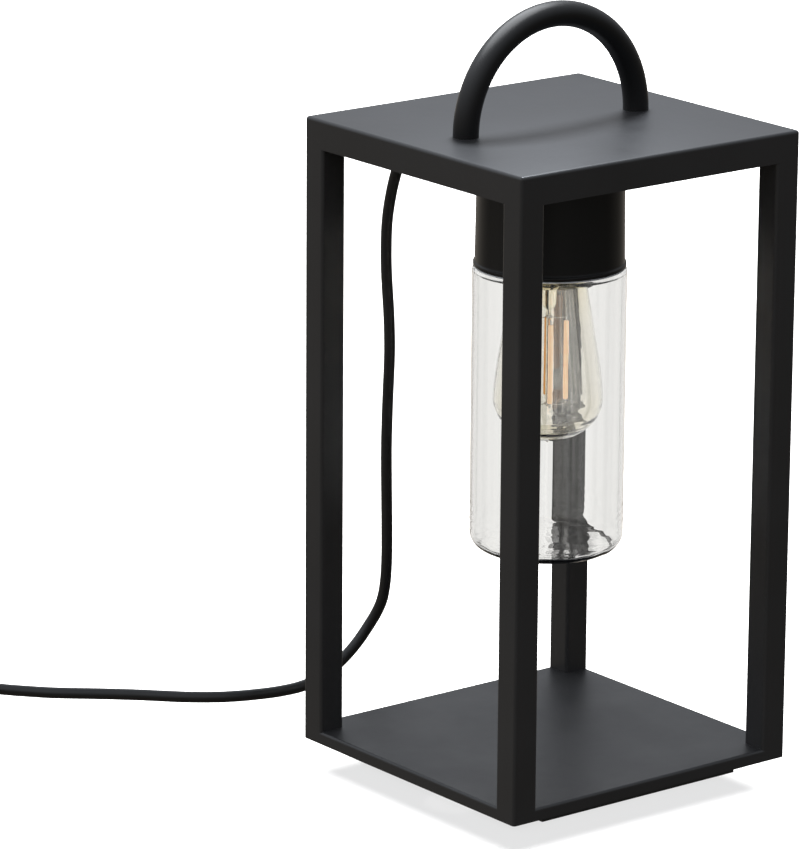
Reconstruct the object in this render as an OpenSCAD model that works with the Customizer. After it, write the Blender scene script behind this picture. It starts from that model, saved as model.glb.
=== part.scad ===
// Lantern table lamp: an open box frame with an arch handle, and a clear
// glass jar that hangs from a cup under the top tray, round a screw-cap bulb.
// x = y = 0 is the middle of the frame and z = 0 is the table top.
// The frame's sides lie along X and Y, and the cord leaves through the +Y side.

/* [Frame] */
// Width of the frame, along the handle
frame_w = 205; // [180:1:240]
// Depth of the frame, across the handle
frame_d = 198; // [180:1:240]
// Height of the frame, from the underside of the base to the top of the tray
frame_h = 377.5; // [350:0.5:450]
// Width of a square post
post_w = 16.8; // [13:0.1:20]
// Wall of a post
post_wall = 1.5; // [1:0.1:2]
// Sheet that the tray and the base are folded from
sheet_t = 1.5; // [1:0.1:2]
// Rounding of the frame's outer edges
edge_r = 2; // [1:0.1:2.5]
// Height of the top tray
tray_h = 17.5; // [17:0.5:24]
// Height of the base
base_h = 7.5; // [6.5:0.5:12]
// Sheet that closes the tray from below
cover_t = 1.2; // [0.8:0.1:2]
// Distance from the tray's side to the edge of its cover
cover_inset = 6; // [5:0.5:8]

/* [Feet] */
// Length of a foot strip
strip_l = 145; // [100:1:160]
// Width of a foot strip
strip_w = 11; // [8:0.5:12]
// Thickness of a foot strip
foot_t = 2.8; // [1:0.1:4]
// Distance from the frame's side to a foot strip
strip_inset = 2.5; // [1.5:0.1:3]
// How far the strips are stuck to the -X side of the middle
strip_shift = 7; // [0:1:10]

/* [Handle] */
// Diameter of the handle's tube
handle_d = 15; // [12:0.5:18]
// Wall of the handle's tube
handle_wall = 1.5; // [1:0.1:2]
// Distance between the handle's legs, centre to centre
handle_span = 126; // [100:1:150]
// Straight length of a leg below the arch
handle_leg = 0.5; // [0.5:0.5:20]

/* [Lamp cup] */
// Height of the cup
cup_h = 64.5; // [58:0.5:80]
// Diameter of the cup under the tray
cup_top_d = 85.5; // [76:0.5:88]
// Diameter of the cup above its lip
cup_d = 87; // [80:0.5:88]
// Diameter of the cup's lip
lip_d = 88.8; // [87:0.1:92]
// Height of the flare above the lip
lip_h = 3; // [2:0.5:8]
// Wall of the cup
cup_wall = 1.2; // [0.8:0.1:2]
// Rounding of the cup's top edge
cup_round = 4; // [2.5:0.5:8]

/* [Glass jar] */
// Diameter of the jar
jar_d = 90; // [88:0.5:100]
// Height of the jar below its seal
jar_h = 171; // [150:1:190]
// Glass of the jar's side
jar_wall = 2; // [1.5:0.1:4]
// Glass of the jar's floor
jar_floor = 3; // [2:0.1:6]
// Rounding between the jar's side and its floor
jar_corner = 10; // [7:0.5:16]
// How far the floor bulges below its rounded edge
jar_sag = 2; // [0.5:0.5:6]
// Rounding of the jar's shoulder
shoulder_r = 2; // [1:0.1:3]
// Height of the neck that stands in the cup
neck_h = 13; // [8:0.5:20]
// Glass of the neck
neck_wall = 2.5; // [2:0.1:4]
// Room for the thread between the neck and the cup
thread_room = 1.3; // [0.8:0.1:2]
// Thickness of the seal ring
seal_t = 0.8; // [0.5:0.1:2]

/* [Lampholder] */
// Outer diameter of the lampholder
holder_d = 38; // [36:0.5:44]
// Height of the lampholder
holder_h = 56.5; // [54:0.5:58]
// Wall of the lampholder's shell
holder_wall = 2; // [1.5:0.1:2.5]
// Diameter of the threaded tube that carries the lampholder
nipple_d = 10; // [8:0.5:13]
// Bore of the threaded tube
nipple_bore = 7; // [5:0.5:7.5]

/* [Bulb] */
// Largest diameter of the bulb
bulb_d = 64; // [56:1:68]
// Length of the bulb, from its tip to its end contact
bulb_l = 140; // [130:1:150]
// Height of the bulb's widest place above its tip
bulb_belly = 27; // [22:1:32]
// Diameter of the bulb's shoulder, where the long taper ends
bulb_shoulder_d = 45; // [40:1:50]
// Distance from the cap up to that shoulder
bulb_shoulder_h = 21; // [18:1:26]
// Glass of the bulb
bulb_wall = 0.9; // [0.6:0.1:1.4]
// Diameter of the bulb's screw cap
cap_d = 26.4; // [26:0.1:27]
// Height of the bulb's screw cap
cap_h = 26.4; // [25:0.1:28]
// Length of a filament strip
filament_l = 52; // [40:1:58]
// Diameter of a filament strip
filament_d = 1.9; // [1.2:0.1:2.6]
// Diameter of the ring that the strips stand on
filament_ring_d = 22; // [14:0.5:30]
// Number of filament strips
filament_n = 4; // [3:1:8]

/* [Screws] */
// Diameter of the handle's screws
handle_screw_d = 5; // [4:0.5:6]
// Diameter of the screws in the posts
post_screw_d = 4; // [3:0.5:5]
// Diameter of the small screws
small_screw_d = 3; // [2.5:0.1:4]

/* [Cord] */
// Diameter of the mains cord
cord_d = 7; // [6:0.1:8]
// Height of the cord's hole above the tray's lower edge
exit_h = 7.5; // [7:0.1:9]

/* [Plug] */
// Width of the plug
plug_w = 35; // [30:0.5:38]
// Thickness of the plug
plug_t = 14; // [12:0.5:16]
// Length of the plug's body
plug_l = 36; // [30:0.5:42]
// Diameter of a plug pin
pin_d = 4; // [3.5:0.1:4.8]
// Length of a plug pin
pin_l = 19; // [16:0.5:20]
// Distance between the pins
pin_span = 18.6; // [16:0.1:20]

/* [Hidden] */
$fn = 64;
play = 0.1;        // gap round a screw, a plug or a tube in its hole
rest_gap = 0.2;    // gap on each side of the seal ring
body_gap = 0.35;   // gap between the bulb and its lampholder
corners = [[-1, -1], [1, -1], [-1, 1], [1, 1]];
half_w = frame_w / 2;
half_d = frame_d / 2;
post_at = [half_w - post_w / 2, half_d - post_w / 2];
rim_w = post_w;    // the in-turned rims of tray and base carry the posts' whole ends

// heights
z_base = foot_t;
z_deck = z_base + base_h;
z_top = z_base + frame_h;
z_rail = z_top - tray_h;
z_cover = z_rail - cover_t;
z_lip = z_cover - cup_h;
z_seal = z_lip - rest_gap - seal_t;
z_jar = z_seal - rest_gap;
z_holder = z_cover - cup_wall;
z_mouth = z_holder - holder_h;
z_contact = z_mouth + cap_h;
z_tip = z_contact - bulb_l;
z_insert = z_contact + 2.5;
z_exit = z_rail + exit_h;
post_l = z_rail - z_deck;

// screws: head diameter and head height for a shank diameter
function head_d(d) = 1.9 * d;
function head_h(d) = 0.68 * d;
function unit(v) = v / norm(v);
function arc(c, r, a0, a1, n = 8) =
    [for (i = [0:n]) c + r * [cos(a0 + (a1 - a0) * i / n), sin(a0 + (a1 - a0) * i / n)]];
function bezier(a, b, c, d, n = 8) =
    [for (i = [0:n]) let (s = i / n, t = 1 - s)
        t ^ 3 * a + 3 * t ^ 2 * s * b + 3 * t * s ^ 2 * c + s ^ 3 * d];
function reversed(list) = [for (i = [len(list) - 1:-1:0]) list[i]];
// one more point halfway along each stretch, on a curve through all the points
function pick(p, i) = p[max(0, min(len(p) - 1, i))];
function halfway(p, i) = (9 * (pick(p, i) + pick(p, i + 1)) - pick(p, i - 1) - pick(p, i + 2)) / 16;
function smooth(p) = [for (i = [0:2 * len(p) - 2]) i % 2 == 0 ? p[i / 2] : halfway(p, (i - 1) / 2)];

// ---------- shared shapes ----------

module rounded_rect(w, d, r) {
    square([w - 2 * r, d], center = true);
    square([w, d - 2 * r], center = true);
    for (c = corners) translate([c.x * (w / 2 - r), c.y * (d / 2 - r)]) circle(r);
}

// a slab with rounded upright and upper edges, standing on z = 0
module soft_slab(w, d, h, r) {
    linear_extrude(h - r) rounded_rect(w, d, r);
    linear_extrude(h) square([w - 2 * r, d - 2 * r], center = true);
    translate([0, 0, h - r]) {
        for (x = [-1, 1]) translate([x * (w / 2 - r), 0, 0]) rotate([90, 0, 0])
            cylinder(r = r, h = d - 2 * r, center = true);
        for (y = [-1, 1]) translate([0, y * (d / 2 - r), 0]) rotate([0, 90, 0])
            cylinder(r = r, h = w - 2 * r, center = true);
        for (c = corners) translate([c.x * (w / 2 - r), c.y * (d / 2 - r), 0]) sphere(r);
    }
}

// a pan-head screw that points up, with its head's seat at z = 0
module screw(d, l) {
    translate([0, 0, -head_h(d)]) cylinder(d = head_d(d), h = head_h(d));
    cylinder(d = d, h = l);
}

// a flush screw that points up out of a sheet, whose underside is z = 0
module flush_screw(d, sheet, l) {
    cylinder(d1 = d + 2 * sheet, d2 = d, h = sheet);
    cylinder(d = d, h = l);
}

module ring(r_in, r_out, h) {
    difference() {
        cylinder(r = r_out, h = h);
        translate([0, 0, -1]) cylinder(r = r_in, h = h + 2);
    }
}

// a tube or a tapered rod swept along points, with flat ends square to it
module sweep(path, radii, sides, up) {
    n = len(path);
    rings = [for (i = [0:n - 1])
        let (t = unit(path[min(i + 1, n - 1)] - path[max(i - 1, 0)]),
            a = unit(cross(t, up)), b = cross(t, a))
        for (k = [0:sides - 1]) path[i] + radii[i] * (cos(360 * k / sides) * a + sin(360 * k / sides) * b)];
    walls = [for (i = [0:n - 2], k = [0:sides - 1])
        let (k2 = (k + 1) % sides, p = i * sides, q = (i + 1) * sides)
        each [[p + k, q + k, q + k2], [p + k, q + k2, p + k2]]];
    first_cap = [for (k = [1:sides - 2]) [0, k, k + 1]];
    last_cap = [for (k = [1:sides - 2]) [(n - 1) * sides, (n - 1) * sides + k + 1, (n - 1) * sides + k]];
    polyhedron(rings, concat(walls, first_cap, last_cap));
}

// ---------- frame ----------

module top_tray() {
    color("dimgray") difference() {
        translate([0, 0, z_rail]) soft_slab(frame_w, frame_d, tray_h, edge_r);
        translate([0, 0, z_rail + sheet_t]) linear_extrude(tray_h - 2 * sheet_t)
            square([frame_w - 2 * sheet_t, frame_d - 2 * sheet_t], center = true);
        translate([0, 0, z_rail - 1]) linear_extrude(sheet_t + 2)
            square([frame_w - 2 * rim_w, frame_d - 2 * rim_w], center = true);
        for (x = [-1, 1]) translate([x * handle_span / 2, 0, z_top - 2 * sheet_t])
            cylinder(d = handle_screw_d + 2 * play, h = 3 * sheet_t);
        for (c = corners) translate([c.x * post_at.x, c.y * post_at.y, z_rail - 1])
            cylinder(d = post_screw_d + 2 * play, h = sheet_t + 2);
        for (p = cover_screw_at) translate([p.x, p.y, z_rail - 1])
            cylinder(d = small_screw_d + 2 * play, h = sheet_t + 2);
        translate([0, half_d - 2 * sheet_t, z_exit]) rotate([-90, 0, 0])
            cylinder(r = gland_r + play, h = 3 * sheet_t);
    }
}

// the cover's screws stand in the middle of the rim it lies on, one on each side
screw_inset = (rim_w + cover_inset) / 2;
cover_screw_at = [for (a = [0:90:270]) [(half_w - screw_inset) * cos(a), (half_d - screw_inset) * sin(a)]];
cup_screw_at = cup_top_d / 2 - cup_round - 8;
module tray_cover() {
    color("dimgray") difference() {
        translate([0, 0, z_cover]) linear_extrude(cover_t)
            square([frame_w - 2 * cover_inset, frame_d - 2 * cover_inset], center = true);
        for (c = corners) translate([c.x * (post_at.x - 3 * play), c.y * (post_at.y - 3 * play), z_cover])
            cube([post_w, post_w, 3 * cover_t], center = true);
        for (p = cover_screw_at) translate([p.x, p.y, z_cover])
            flush_screw(small_screw_d + 2 * play, cover_t, cover_t + 1);
        for (x = [-1, 1]) translate([x * cup_screw_at, 0, z_cover - 1])
            cylinder(d = small_screw_d + 2 * play, h = cover_t + 2);
        translate([0, 0, z_cover - 1]) cylinder(d = nipple_d + 2 * play, h = cover_t + 2);
    }
}

module cover_screws() {
    color("black") for (p = cover_screw_at) translate([p.x, p.y, z_cover])
        flush_screw(small_screw_d, cover_t, cover_t + sheet_t + 1.5);
}

module post(side) {
    color("dimgray") translate([side.x * post_at.x, side.y * post_at.y, z_deck]) linear_extrude(post_l)
        difference() {
            rounded_rect(post_w, post_w, edge_r);
            square(post_w - 2 * post_wall, center = true);
        }
}
module post_front() post(corners[0]);
module post_right() post(corners[1]);
module post_left() post(corners[2]);
module post_back() post(corners[3]);

post_plug_l = 10;
module post_plugs() {
    color("silver") for (c = corners, z = [z_deck, z_rail - post_plug_l])
        translate([c.x * post_at.x, c.y * post_at.y, z]) linear_extrude(post_plug_l) difference() {
            square(post_w - 2 * post_wall - 2 * play, center = true);
            circle(d = post_screw_d + 2 * play);
        }
}

module post_screws() {
    color("silver") for (c = corners) translate([c.x * post_at.x, c.y * post_at.y, 0]) {
        translate([0, 0, z_deck - sheet_t]) screw(post_screw_d, sheet_t + post_plug_l - 2);
        translate([0, 0, z_rail + sheet_t]) mirror([0, 0, 1])
            screw(post_screw_d, sheet_t + post_plug_l - 2);
    }
}

module base_tray() {
    color("dimgray") difference() {
        translate([0, 0, z_base]) {
            soft_slab(frame_w, frame_d, base_h, edge_r);
            for (c = corners) translate([c.x * post_at.x, c.y * post_at.y, 0])
                linear_extrude(base_h) rounded_rect(post_w, post_w, edge_r);
        }
        translate([0, 0, z_base + sheet_t]) linear_extrude(base_h - 2 * sheet_t)
            square([frame_w - 2 * sheet_t, frame_d - 2 * sheet_t], center = true);
        translate([0, 0, z_base - 1]) linear_extrude(sheet_t + 2)
            square([frame_w - 2 * rim_w, frame_d - 2 * rim_w], center = true);
        for (c = corners) translate([c.x * post_at.x, c.y * post_at.y, 0]) {
            cylinder(d = post_screw_d + 2 * play, h = z_deck + 1);
            cylinder(d = head_d(post_screw_d) + 1.4, h = z_base + sheet_t + 0.5);
        }
    }
}

module foot_strips() {
    color("black") for (y = [-1, 1])
        translate([-strip_shift, y * (half_d - strip_inset - strip_w / 2), foot_t / 2])
            cube([strip_l, strip_w, foot_t], center = true);
}

// ---------- handle ----------

module handle_section(x) {
    translate([x, 0]) difference() {
        circle(d = handle_d);
        circle(d = handle_d - 2 * handle_wall);
    }
}

module handle_tube() {
    color("dimgray") translate([0, 0, z_top]) {
        for (x = [-1, 1]) linear_extrude(handle_leg) handle_section(x * handle_span / 2);
        translate([0, 0, handle_leg]) rotate([90, 0, 0]) rotate_extrude(angle = 180)
            handle_section(handle_span / 2);
    }
}

handle_plug_l = 5;
module handle_plugs() {
    color("silver") for (x = [-1, 1]) translate([x * handle_span / 2, 0, z_top])
        ring(handle_screw_d / 2 + play, handle_d / 2 - handle_wall - play, handle_plug_l);
}

washer_t = 1;
module handle_washers() {
    color("silver") for (x = [-1, 1])
        translate([x * handle_span / 2, 0, z_top - sheet_t - washer_t])
            ring(handle_screw_d / 2 + play, 1.1 * handle_screw_d, washer_t);
}

module handle_screws() {
    color("silver") for (x = [-1, 1])
        translate([x * handle_span / 2, 0, z_top - sheet_t - washer_t])
            screw(handle_screw_d, washer_t + sheet_t + handle_plug_l - 0.5);
}

// ---------- cup, seal and jar ----------

// outer or inner outline of the cup, moved in by its wall
function cup_side(wall) = concat(
    [[lip_d / 2 - wall, z_lip], [lip_d / 2 - wall, z_lip + lip_h * 0.4],
        [cup_d / 2 - wall, z_lip + lip_h]],
    arc([cup_top_d / 2 - cup_round, z_cover - cup_round], cup_round - wall, 0, 90),
    [[0, z_cover - wall]]);

module lamp_cup() {
    color("black") difference() {
        rotate_extrude($fn = 96) polygon(concat(cup_side(0), reversed(cup_side(cup_wall))));
        translate([0, 0, z_cover - 2 * cup_wall]) {
            cylinder(d = nipple_d + 2 * play, h = 3 * cup_wall);
            for (x = [-1, 1]) translate([x * cup_screw_at, 0, 0])
                cylinder(d = small_screw_d + 2 * play, h = 3 * cup_wall);
        }
    }
}

module cup_screws() {
    color("silver") for (x = [-1, 1]) translate([x * cup_screw_at, 0, z_cover - cup_wall])
        screw(small_screw_d, cup_wall + cover_t + 3);
}

neck_r = cup_d / 2 - cup_wall - thread_room;
module seal_ring() {
    color("whitesmoke") translate([0, 0, z_seal])
        ring(neck_r + 3 * play, min(lip_d, jar_d) / 2 - 0.4, seal_t);
}

jar_r = jar_d / 2;
jar_low = z_jar - jar_h;
// the jar's floor from the axis out to its rounded edge, and the edge itself
function bowl(r, corner, z, n = 8) = concat(
    [for (i = [0:n - 1]) [(r - corner) * i / n, z + jar_sag * (i / n) ^ 2]],
    arc([r - corner, z + jar_sag + corner], corner, -90, 0, 10));
module glass_jar() {
    outer = concat(bowl(jar_r, jar_corner, jar_low),
        arc([jar_r - shoulder_r, z_jar - shoulder_r], shoulder_r, 0, 90, 6),
        [[neck_r, z_jar], [neck_r, z_jar + neck_h]]);
    inner = concat(bowl(jar_r - jar_wall, jar_corner - jar_wall, jar_low + jar_floor),
        arc([jar_r - jar_wall - shoulder_r, z_jar - neck_wall - shoulder_r], shoulder_r, 0, 90, 6),
        [[neck_r - neck_wall, z_jar - neck_wall / 2], [neck_r - neck_wall, z_jar + neck_h]]);
    color("aliceblue", 0.4) rotate_extrude($fn = 96) polygon(concat(outer, reversed(inner)));
}

// ---------- lampholder ----------

holder_r = holder_d / 2;
holder_split = z_mouth + 0.6 * holder_h;
holder_taper = 0.16 * holder_h;
shell_r = cap_d / 2 + body_gap;
shell_wall = 0.5;
// the cap's outline, or its hollow's when moved in by the wall
function cap_side(wall) = let (r = holder_r - wall, z = z_holder - wall) [
    [r, holder_split], [r, z - holder_taper + wall * 0.4], [r - 2.5, z - 0.45 * holder_taper + wall * 0.2],
    [r - 7, z]];
module holder_cap() {
    bore = nipple_d / 2 + play;
    color("black") rotate_extrude() polygon(concat(cap_side(0), [[bore, z_holder]],
        [[bore, z_holder - holder_wall]], reversed(cap_side(holder_wall))));
}

module holder_skirt() {
    inside = holder_r - holder_wall;
    lip = holder_wall / 2;
    color("black") rotate_extrude() polygon([[shell_r + lip, z_mouth], [holder_r, z_mouth],
        [holder_r + lip, z_mouth + lip], [holder_r + lip, z_mouth + 4 * lip], [holder_r, z_mouth + 6 * lip],
        [holder_r, holder_split], [inside, holder_split], [inside, z_mouth + holder_wall],
        [shell_r + lip, z_mouth + holder_wall]]);
}

insert_r = holder_r - holder_wall - play;
insert_cap = 10;
terminal_at = 8;
terminal_d = 3;
module holder_insert() {
    color("ivory") difference() {
        translate([0, 0, z_insert - 12]) cylinder(r = insert_r, h = 12 + insert_cap);
        translate([0, 0, z_insert - 13]) cylinder(r = shell_r + shell_wall + play, h = 13);
        for (x = [-1, 1]) translate([x * terminal_at, 0, z_insert - 1])
            cylinder(d = terminal_d + 2 * play, h = insert_cap + 2);
    }
}

// threaded shell, open at both ends, with a tab that reaches in to the -X terminal
module holder_shell() {
    color("goldenrod") difference() {
        translate([0, 0, z_mouth + 2.5])
            cylinder(r = shell_r + shell_wall, h = z_insert - z_mouth - 2.5);
        translate([0, 0, z_mouth + 1]) cylinder(r = shell_r, h = z_insert - shell_wall - z_mouth - 1);
        difference() {
            translate([0, 0, z_insert - 2]) cylinder(r = shell_r - 2, h = 3);
            translate([-shell_r, -3, z_insert - 3]) cube([shell_r - terminal_at + 3, 6, 5]);
        }
    }
}

// the tongue that meets the bulb's end, and its strap to the +X terminal
module holder_contact() {
    color("goldenrod") {
        translate([-3, -2.5, z_insert - shell_wall]) cube([terminal_at + 5, 5, shell_wall]);
        translate([0, 0, z_contact + body_gap])
            cylinder(r = 3, h = z_insert - shell_wall - z_contact - body_gap);
    }
}

module holder_terminals() {
    color("goldenrod") for (x = [-1, 1])
        translate([x * terminal_at, 0, z_insert + insert_cap]) {
            translate([-3, -4, 0]) cube([6, 8, 1]);
            cylinder(d = 5, h = 2.6);
            translate([0, 0, -insert_cap]) cylinder(d = terminal_d, h = insert_cap);
        }
}

nipple_low = z_holder - 6;
nipple_top = z_rail + 6;
module holder_nipple() {
    color("silver") translate([0, 0, nipple_low]) ring(nipple_bore / 2, nipple_d / 2, nipple_top - nipple_low);
}

nut_h = 3;
module nipple_nut() {
    color("silver") translate([0, 0, z_rail]) {
        ring(nipple_d / 2 + play, nipple_d * 0.9, washer_t);
        translate([0, 0, washer_t]) difference() {
            cylinder(d = 1.6 * nipple_d, h = nut_h, $fn = 6);
            translate([0, 0, -1]) cylinder(d = nipple_d + 2 * play, h = nut_h + 2, $fn = 64);
        }
    }
}

// ---------- wiring inside the tray ----------

// the block, the cord's end and its clamp keep their distance from the +Y side
clamp_at = half_d - 22;
sheath_end = clamp_at - 16;
block_at = clamp_at - 38;
block_size = [20, 17, 12];
pole_x = 4.75;
pole_z = z_rail + block_size.z / 2;
core_r = 1.1;
module terminal_block() {
    color("ivory") difference() {
        translate([0, block_at, pole_z]) cube(block_size, center = true);
        for (x = [-pole_x, pole_x]) {
            translate([x, block_at, pole_z]) rotate([90, 0, 0]) cylinder(r = 2.2, h = block_size.y + 2, center = true);
            for (y = [-4.5, 4.5]) translate([x, block_at + y, pole_z]) cylinder(r = 2, h = block_size.z);
        }
    }
}

module terminal_barrels() {
    color("goldenrod") for (x = [-pole_x, pole_x]) translate([x, block_at, pole_z]) {
        rotate([90, 0, 0]) difference() {
            cylinder(r = 2.1, h = block_size.y - 3, center = true);
            cylinder(r = core_r + 0.15, h = block_size.y, center = true);
        }
        for (y = [-4.5, 4.5]) translate([0, y, 2.2]) cylinder(r = 1.6, h = 2.6);
    }
}

// two insulated leads, from the lampholder's terminals up the threaded tube to the block
module inner_leads() {
    plate = z_insert + insert_cap + 2;
    gate = block_at - block_size.y / 2;
    color("sienna") for (s = [-1, 1]) {
        path = smooth([for (p = [[8, -4.2, plate], [8, -7, plate + 0.6], [7, -8.6, plate + 3],
            [4.8, -6.4, plate + 5.6], [2.6, -2.4, nipple_low - 1.4], [1.6, -0.4, nipple_low + 2.5],
            [1.6, 0, nipple_low + 6], [1.6, 0, nipple_top - 1], [1.7, 1.2, nipple_top + 2.6],
            [2.2, 5, nipple_top + 5.2], [3.4, 12, nipple_top + 5], [4.3, 20, nipple_top + 2.6],
            [pole_x, gate - 4, pole_z + 0.4], [pole_x, gate + 1, pole_z], [pole_x, gate + 5, pole_z]])
            [s * p.x, p.y, p.z]]);
        sweep(path, [for (p = path) core_r], 8, [0.8, 0.1, 0.2]);
    }
}

module inner_cord() {
    color("black") translate([0, sheath_end, z_exit]) rotate([-90, 0, 0])
        cylinder(d = cord_d, h = half_d - sheet_t - gland_in - sheath_end);
}

module cord_cores() {
    gate = block_at + block_size.y / 2;
    color("sienna") for (s = [-1, 1]) {
        path = smooth([for (p = [[1.3, sheath_end, z_exit], [1.3, sheath_end - 3, z_exit],
            [3, sheath_end - 7, z_exit - 0.2], [4.6, gate + 3, pole_z + 0.1],
            [pole_x, gate - 1, pole_z], [pole_x, gate - 5, pole_z]]) [s * p.x, p.y, p.z]]);
        sweep(path, [for (p = path) core_r], 8, [0, 0, 1]);
    }
}

clamp_size = [26, 9];
clamp_screw_x = clamp_size.x / 2 - 3.4;
module cord_clamp() {
    base = z_exit - cord_d / 2 - z_rail;
    top = z_exit + cord_d / 2 + 2;
    color("ivory") difference() {
        translate([0, clamp_at, 0]) {
            translate([0, 0, z_rail + base / 2]) cube([clamp_size.x, clamp_size.y, base], center = true);
            translate([0, 0, (z_rail + top) / 2]) cube([cord_d + 5, clamp_size.y, top - z_rail], center = true);
        }
        translate([0, clamp_at, z_exit]) rotate([90, 0, 0])
            cylinder(d = cord_d + 2 * play, h = clamp_size.y + 2, center = true);
        for (x = [-1, 1]) translate([x * clamp_screw_x, clamp_at, z_rail - 1])
            cylinder(d = small_screw_d + 2 * play, h = base + 2);
    }
}

module clamp_screws() {
    base = z_exit - cord_d / 2 - z_rail;
    color("silver") for (x = [-1, 1]) translate([x * clamp_screw_x, clamp_at, z_rail + base])
        mirror([0, 0, 1]) screw(small_screw_d, base);
}

// ---------- cord: bush, free stretch, coil, tie, tail and plug ----------

// the free cord's route: out of the bush, down in a slack bow, and along the table
route = [[0, 122.5, 358], [0, 134, 344], [0, 143, 328], [0, 149.5, 310], [0, 153.5, 289],
    [0, 153.5, 262], [0, 151, 237], [0, 150, 212], [0, 151.5, 182], [0, 152.5, 152], [0, 152, 122],
    [0, 151.5, 97], [0, 152, 74], [-1, 155, 54.7], [-6, 161, 38.7], [-16, 164.5, 24.7],
    [-29, 168.5, 12.7], [-44, 171.5, 5.7], [-60, 175, 3.5], [-78, 179, 3.5], [-97, 187, 3.5],
    [-116, 201, 3.5], [-135, 220, 3.5], [-155, 238, 3.5], [-176, 256, 3.5], [-196, 278, 3.7],
    [-212, 297, 4.2], [-222, 309, 4.5], [-226, 314, 4.5]];

gland_r = cord_d / 2 + 1;
gland_in = 2;
gland_flange = 1.5;
boot_taper = [for (r = [1.8, 2, 1.2, 1.8, 1.1, 1.6, 1, 1.4, 0.9, 1.2, 0.8, 0.8]) cord_d / 2 + r];
// from the bush in the tray's side to the point where the free cord starts
boot_path = bezier([0, half_d + gland_flange, z_exit], [0, half_d + 9, z_exit - 1.2],
    route[0] - 8 * unit(route[1] - route[0]), route[0], len(boot_taper) - 1);
module cord_bush() {
    color("black") {
        translate([0, half_d, z_exit]) rotate([-90, 0, 0]) {
            translate([0, 0, -sheet_t - gland_in]) cylinder(r = gland_r, h = sheet_t + gland_in + 0.5);
            translate([0, 0, -sheet_t - gland_in]) cylinder(r = gland_r + 1, h = gland_in);
            cylinder(r = gland_r + 1.8, h = gland_flange);
        }
        sweep(concat([[0, half_d + 0.5, z_exit]], boot_path), concat([5.2], boot_taper), 12, [1, 0, 0]);
    }
}

module cord_lead() {
    path = smooth(route);
    color("black") sweep(path, [for (p = path) cord_d / 2], 8, [0.6, 0.8, 0]);
}

// the coil: it spirals in, climbs one layer where it turns back, and spirals out again
coil_gap = 0.5;
coil_r = 43.5;
coil_step = 15;
layer = cord_d + coil_gap;
end_dir = unit(route[len(route) - 1] - route[len(route) - 2]);
coil_a = atan2(end_dir.y, end_dir.x) - 90;
coil_turn = 1980 - coil_a;
coil_start = route[len(route) - 1] + cord_d * end_dir;
coil_c = coil_start - coil_r * [cos(coil_a), sin(coil_a), 0];
function coil_radius(t) = coil_r - layer * min(t, coil_turn - t) / 360;
function coil_climb(t) = layer * max(0, min(1, (t - coil_turn / 2 + 90) / 180));
function coil_at(t) = coil_c + [coil_radius(t) * cos(coil_a + t), coil_radius(t) * sin(coil_a + t), coil_climb(t)];
coil_rings = floor(coil_turn / coil_step);
coil_loops = [for (i = [0:coil_rings]) coil_at(coil_turn * i / coil_rings)];
coil_out = [-sin(coil_a + coil_turn), cos(coil_a + coil_turn), 0];
coil_end = coil_at(coil_turn) + cord_d * coil_out;
coil_path = concat([route[len(route) - 1]], coil_loops, [coil_end]);
// least gap between turns, from every ring to those more than half a turn away
coil_clear = min([for (i = [0:coil_rings - 12], j = [i + 12:coil_rings])
    norm(coil_loops[i] - coil_loops[j])]) - cord_d;
module cord_coil() {
    echo(least_gap_in_coil = coil_clear);
    color("black") sweep(coil_path, [for (p = coil_path) cord_d / 2], 6, [0, 0, 1]);
}

tie_t = 0.7;
tie_w = 9;
tie_angle = 100;
module coil_tie() {
    inner = coil_radius(coil_turn / 2) - cord_d / 2 - 1;
    outer = coil_r + cord_d / 2 + 0.6;
    high = layer + cord_d + 0.5;
    low = coil_c.z - cord_d / 2 - 0.2;
    color("black") translate([coil_c.x, coil_c.y, 0]) rotate(coil_a + tie_angle)
        translate([0, tie_w / 2, low]) rotate([90, 0, 0]) linear_extrude(tie_w) difference() {
            translate([inner - tie_t, -tie_t]) square([outer - inner + 2 * tie_t, high + 2 * tie_t]);
            translate([inner, 0]) square([outer - inner, high]);
        }
}

// the tail comes down from the upper layer to the plug that lies beside the coil
tail_l = 30;
plug_boot_l = 20;
tail_side = [coil_out.y, -coil_out.x, 0];
plug_start = [coil_end.x, coil_end.y, plug_t / 2] + (tail_l + cord_d) * coil_out;
module cord_tail() {
    drop = plug_start.z - coil_end.z;
    path = [for (s = [0, 0.1, 0.25, 0.4, 0.5, 0.6, 0.75, 0.9, 1])
        coil_end + (tail_l + cord_d) * s * coil_out + [0, 0, drop * (3 * s ^ 2 - 2 * s ^ 3)]];
    color("black") sweep(path, [for (p = path) cord_d / 2], 8, [0, 0, 1]);
}

module at_plug() {
    translate(plug_start) rotate([0, 0, atan2(coil_out.y, coil_out.x)]) rotate([0, 90, 0])
        rotate([0, 0, 90]) children();
}

module plug_relief() {
    color("black") at_plug() for (i = [0:4]) translate([0, 0, i * plug_boot_l / 5]) {
        cylinder(r1 = cord_d / 2 + 0.5 + i * 0.25, r2 = cord_d / 2 + 0.9 + i * 0.25, h = plug_boot_l / 5 - 1);
        cylinder(r = cord_d / 2 + 0.3 + i * 0.2, h = plug_boot_l / 5);
    }
}

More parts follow.
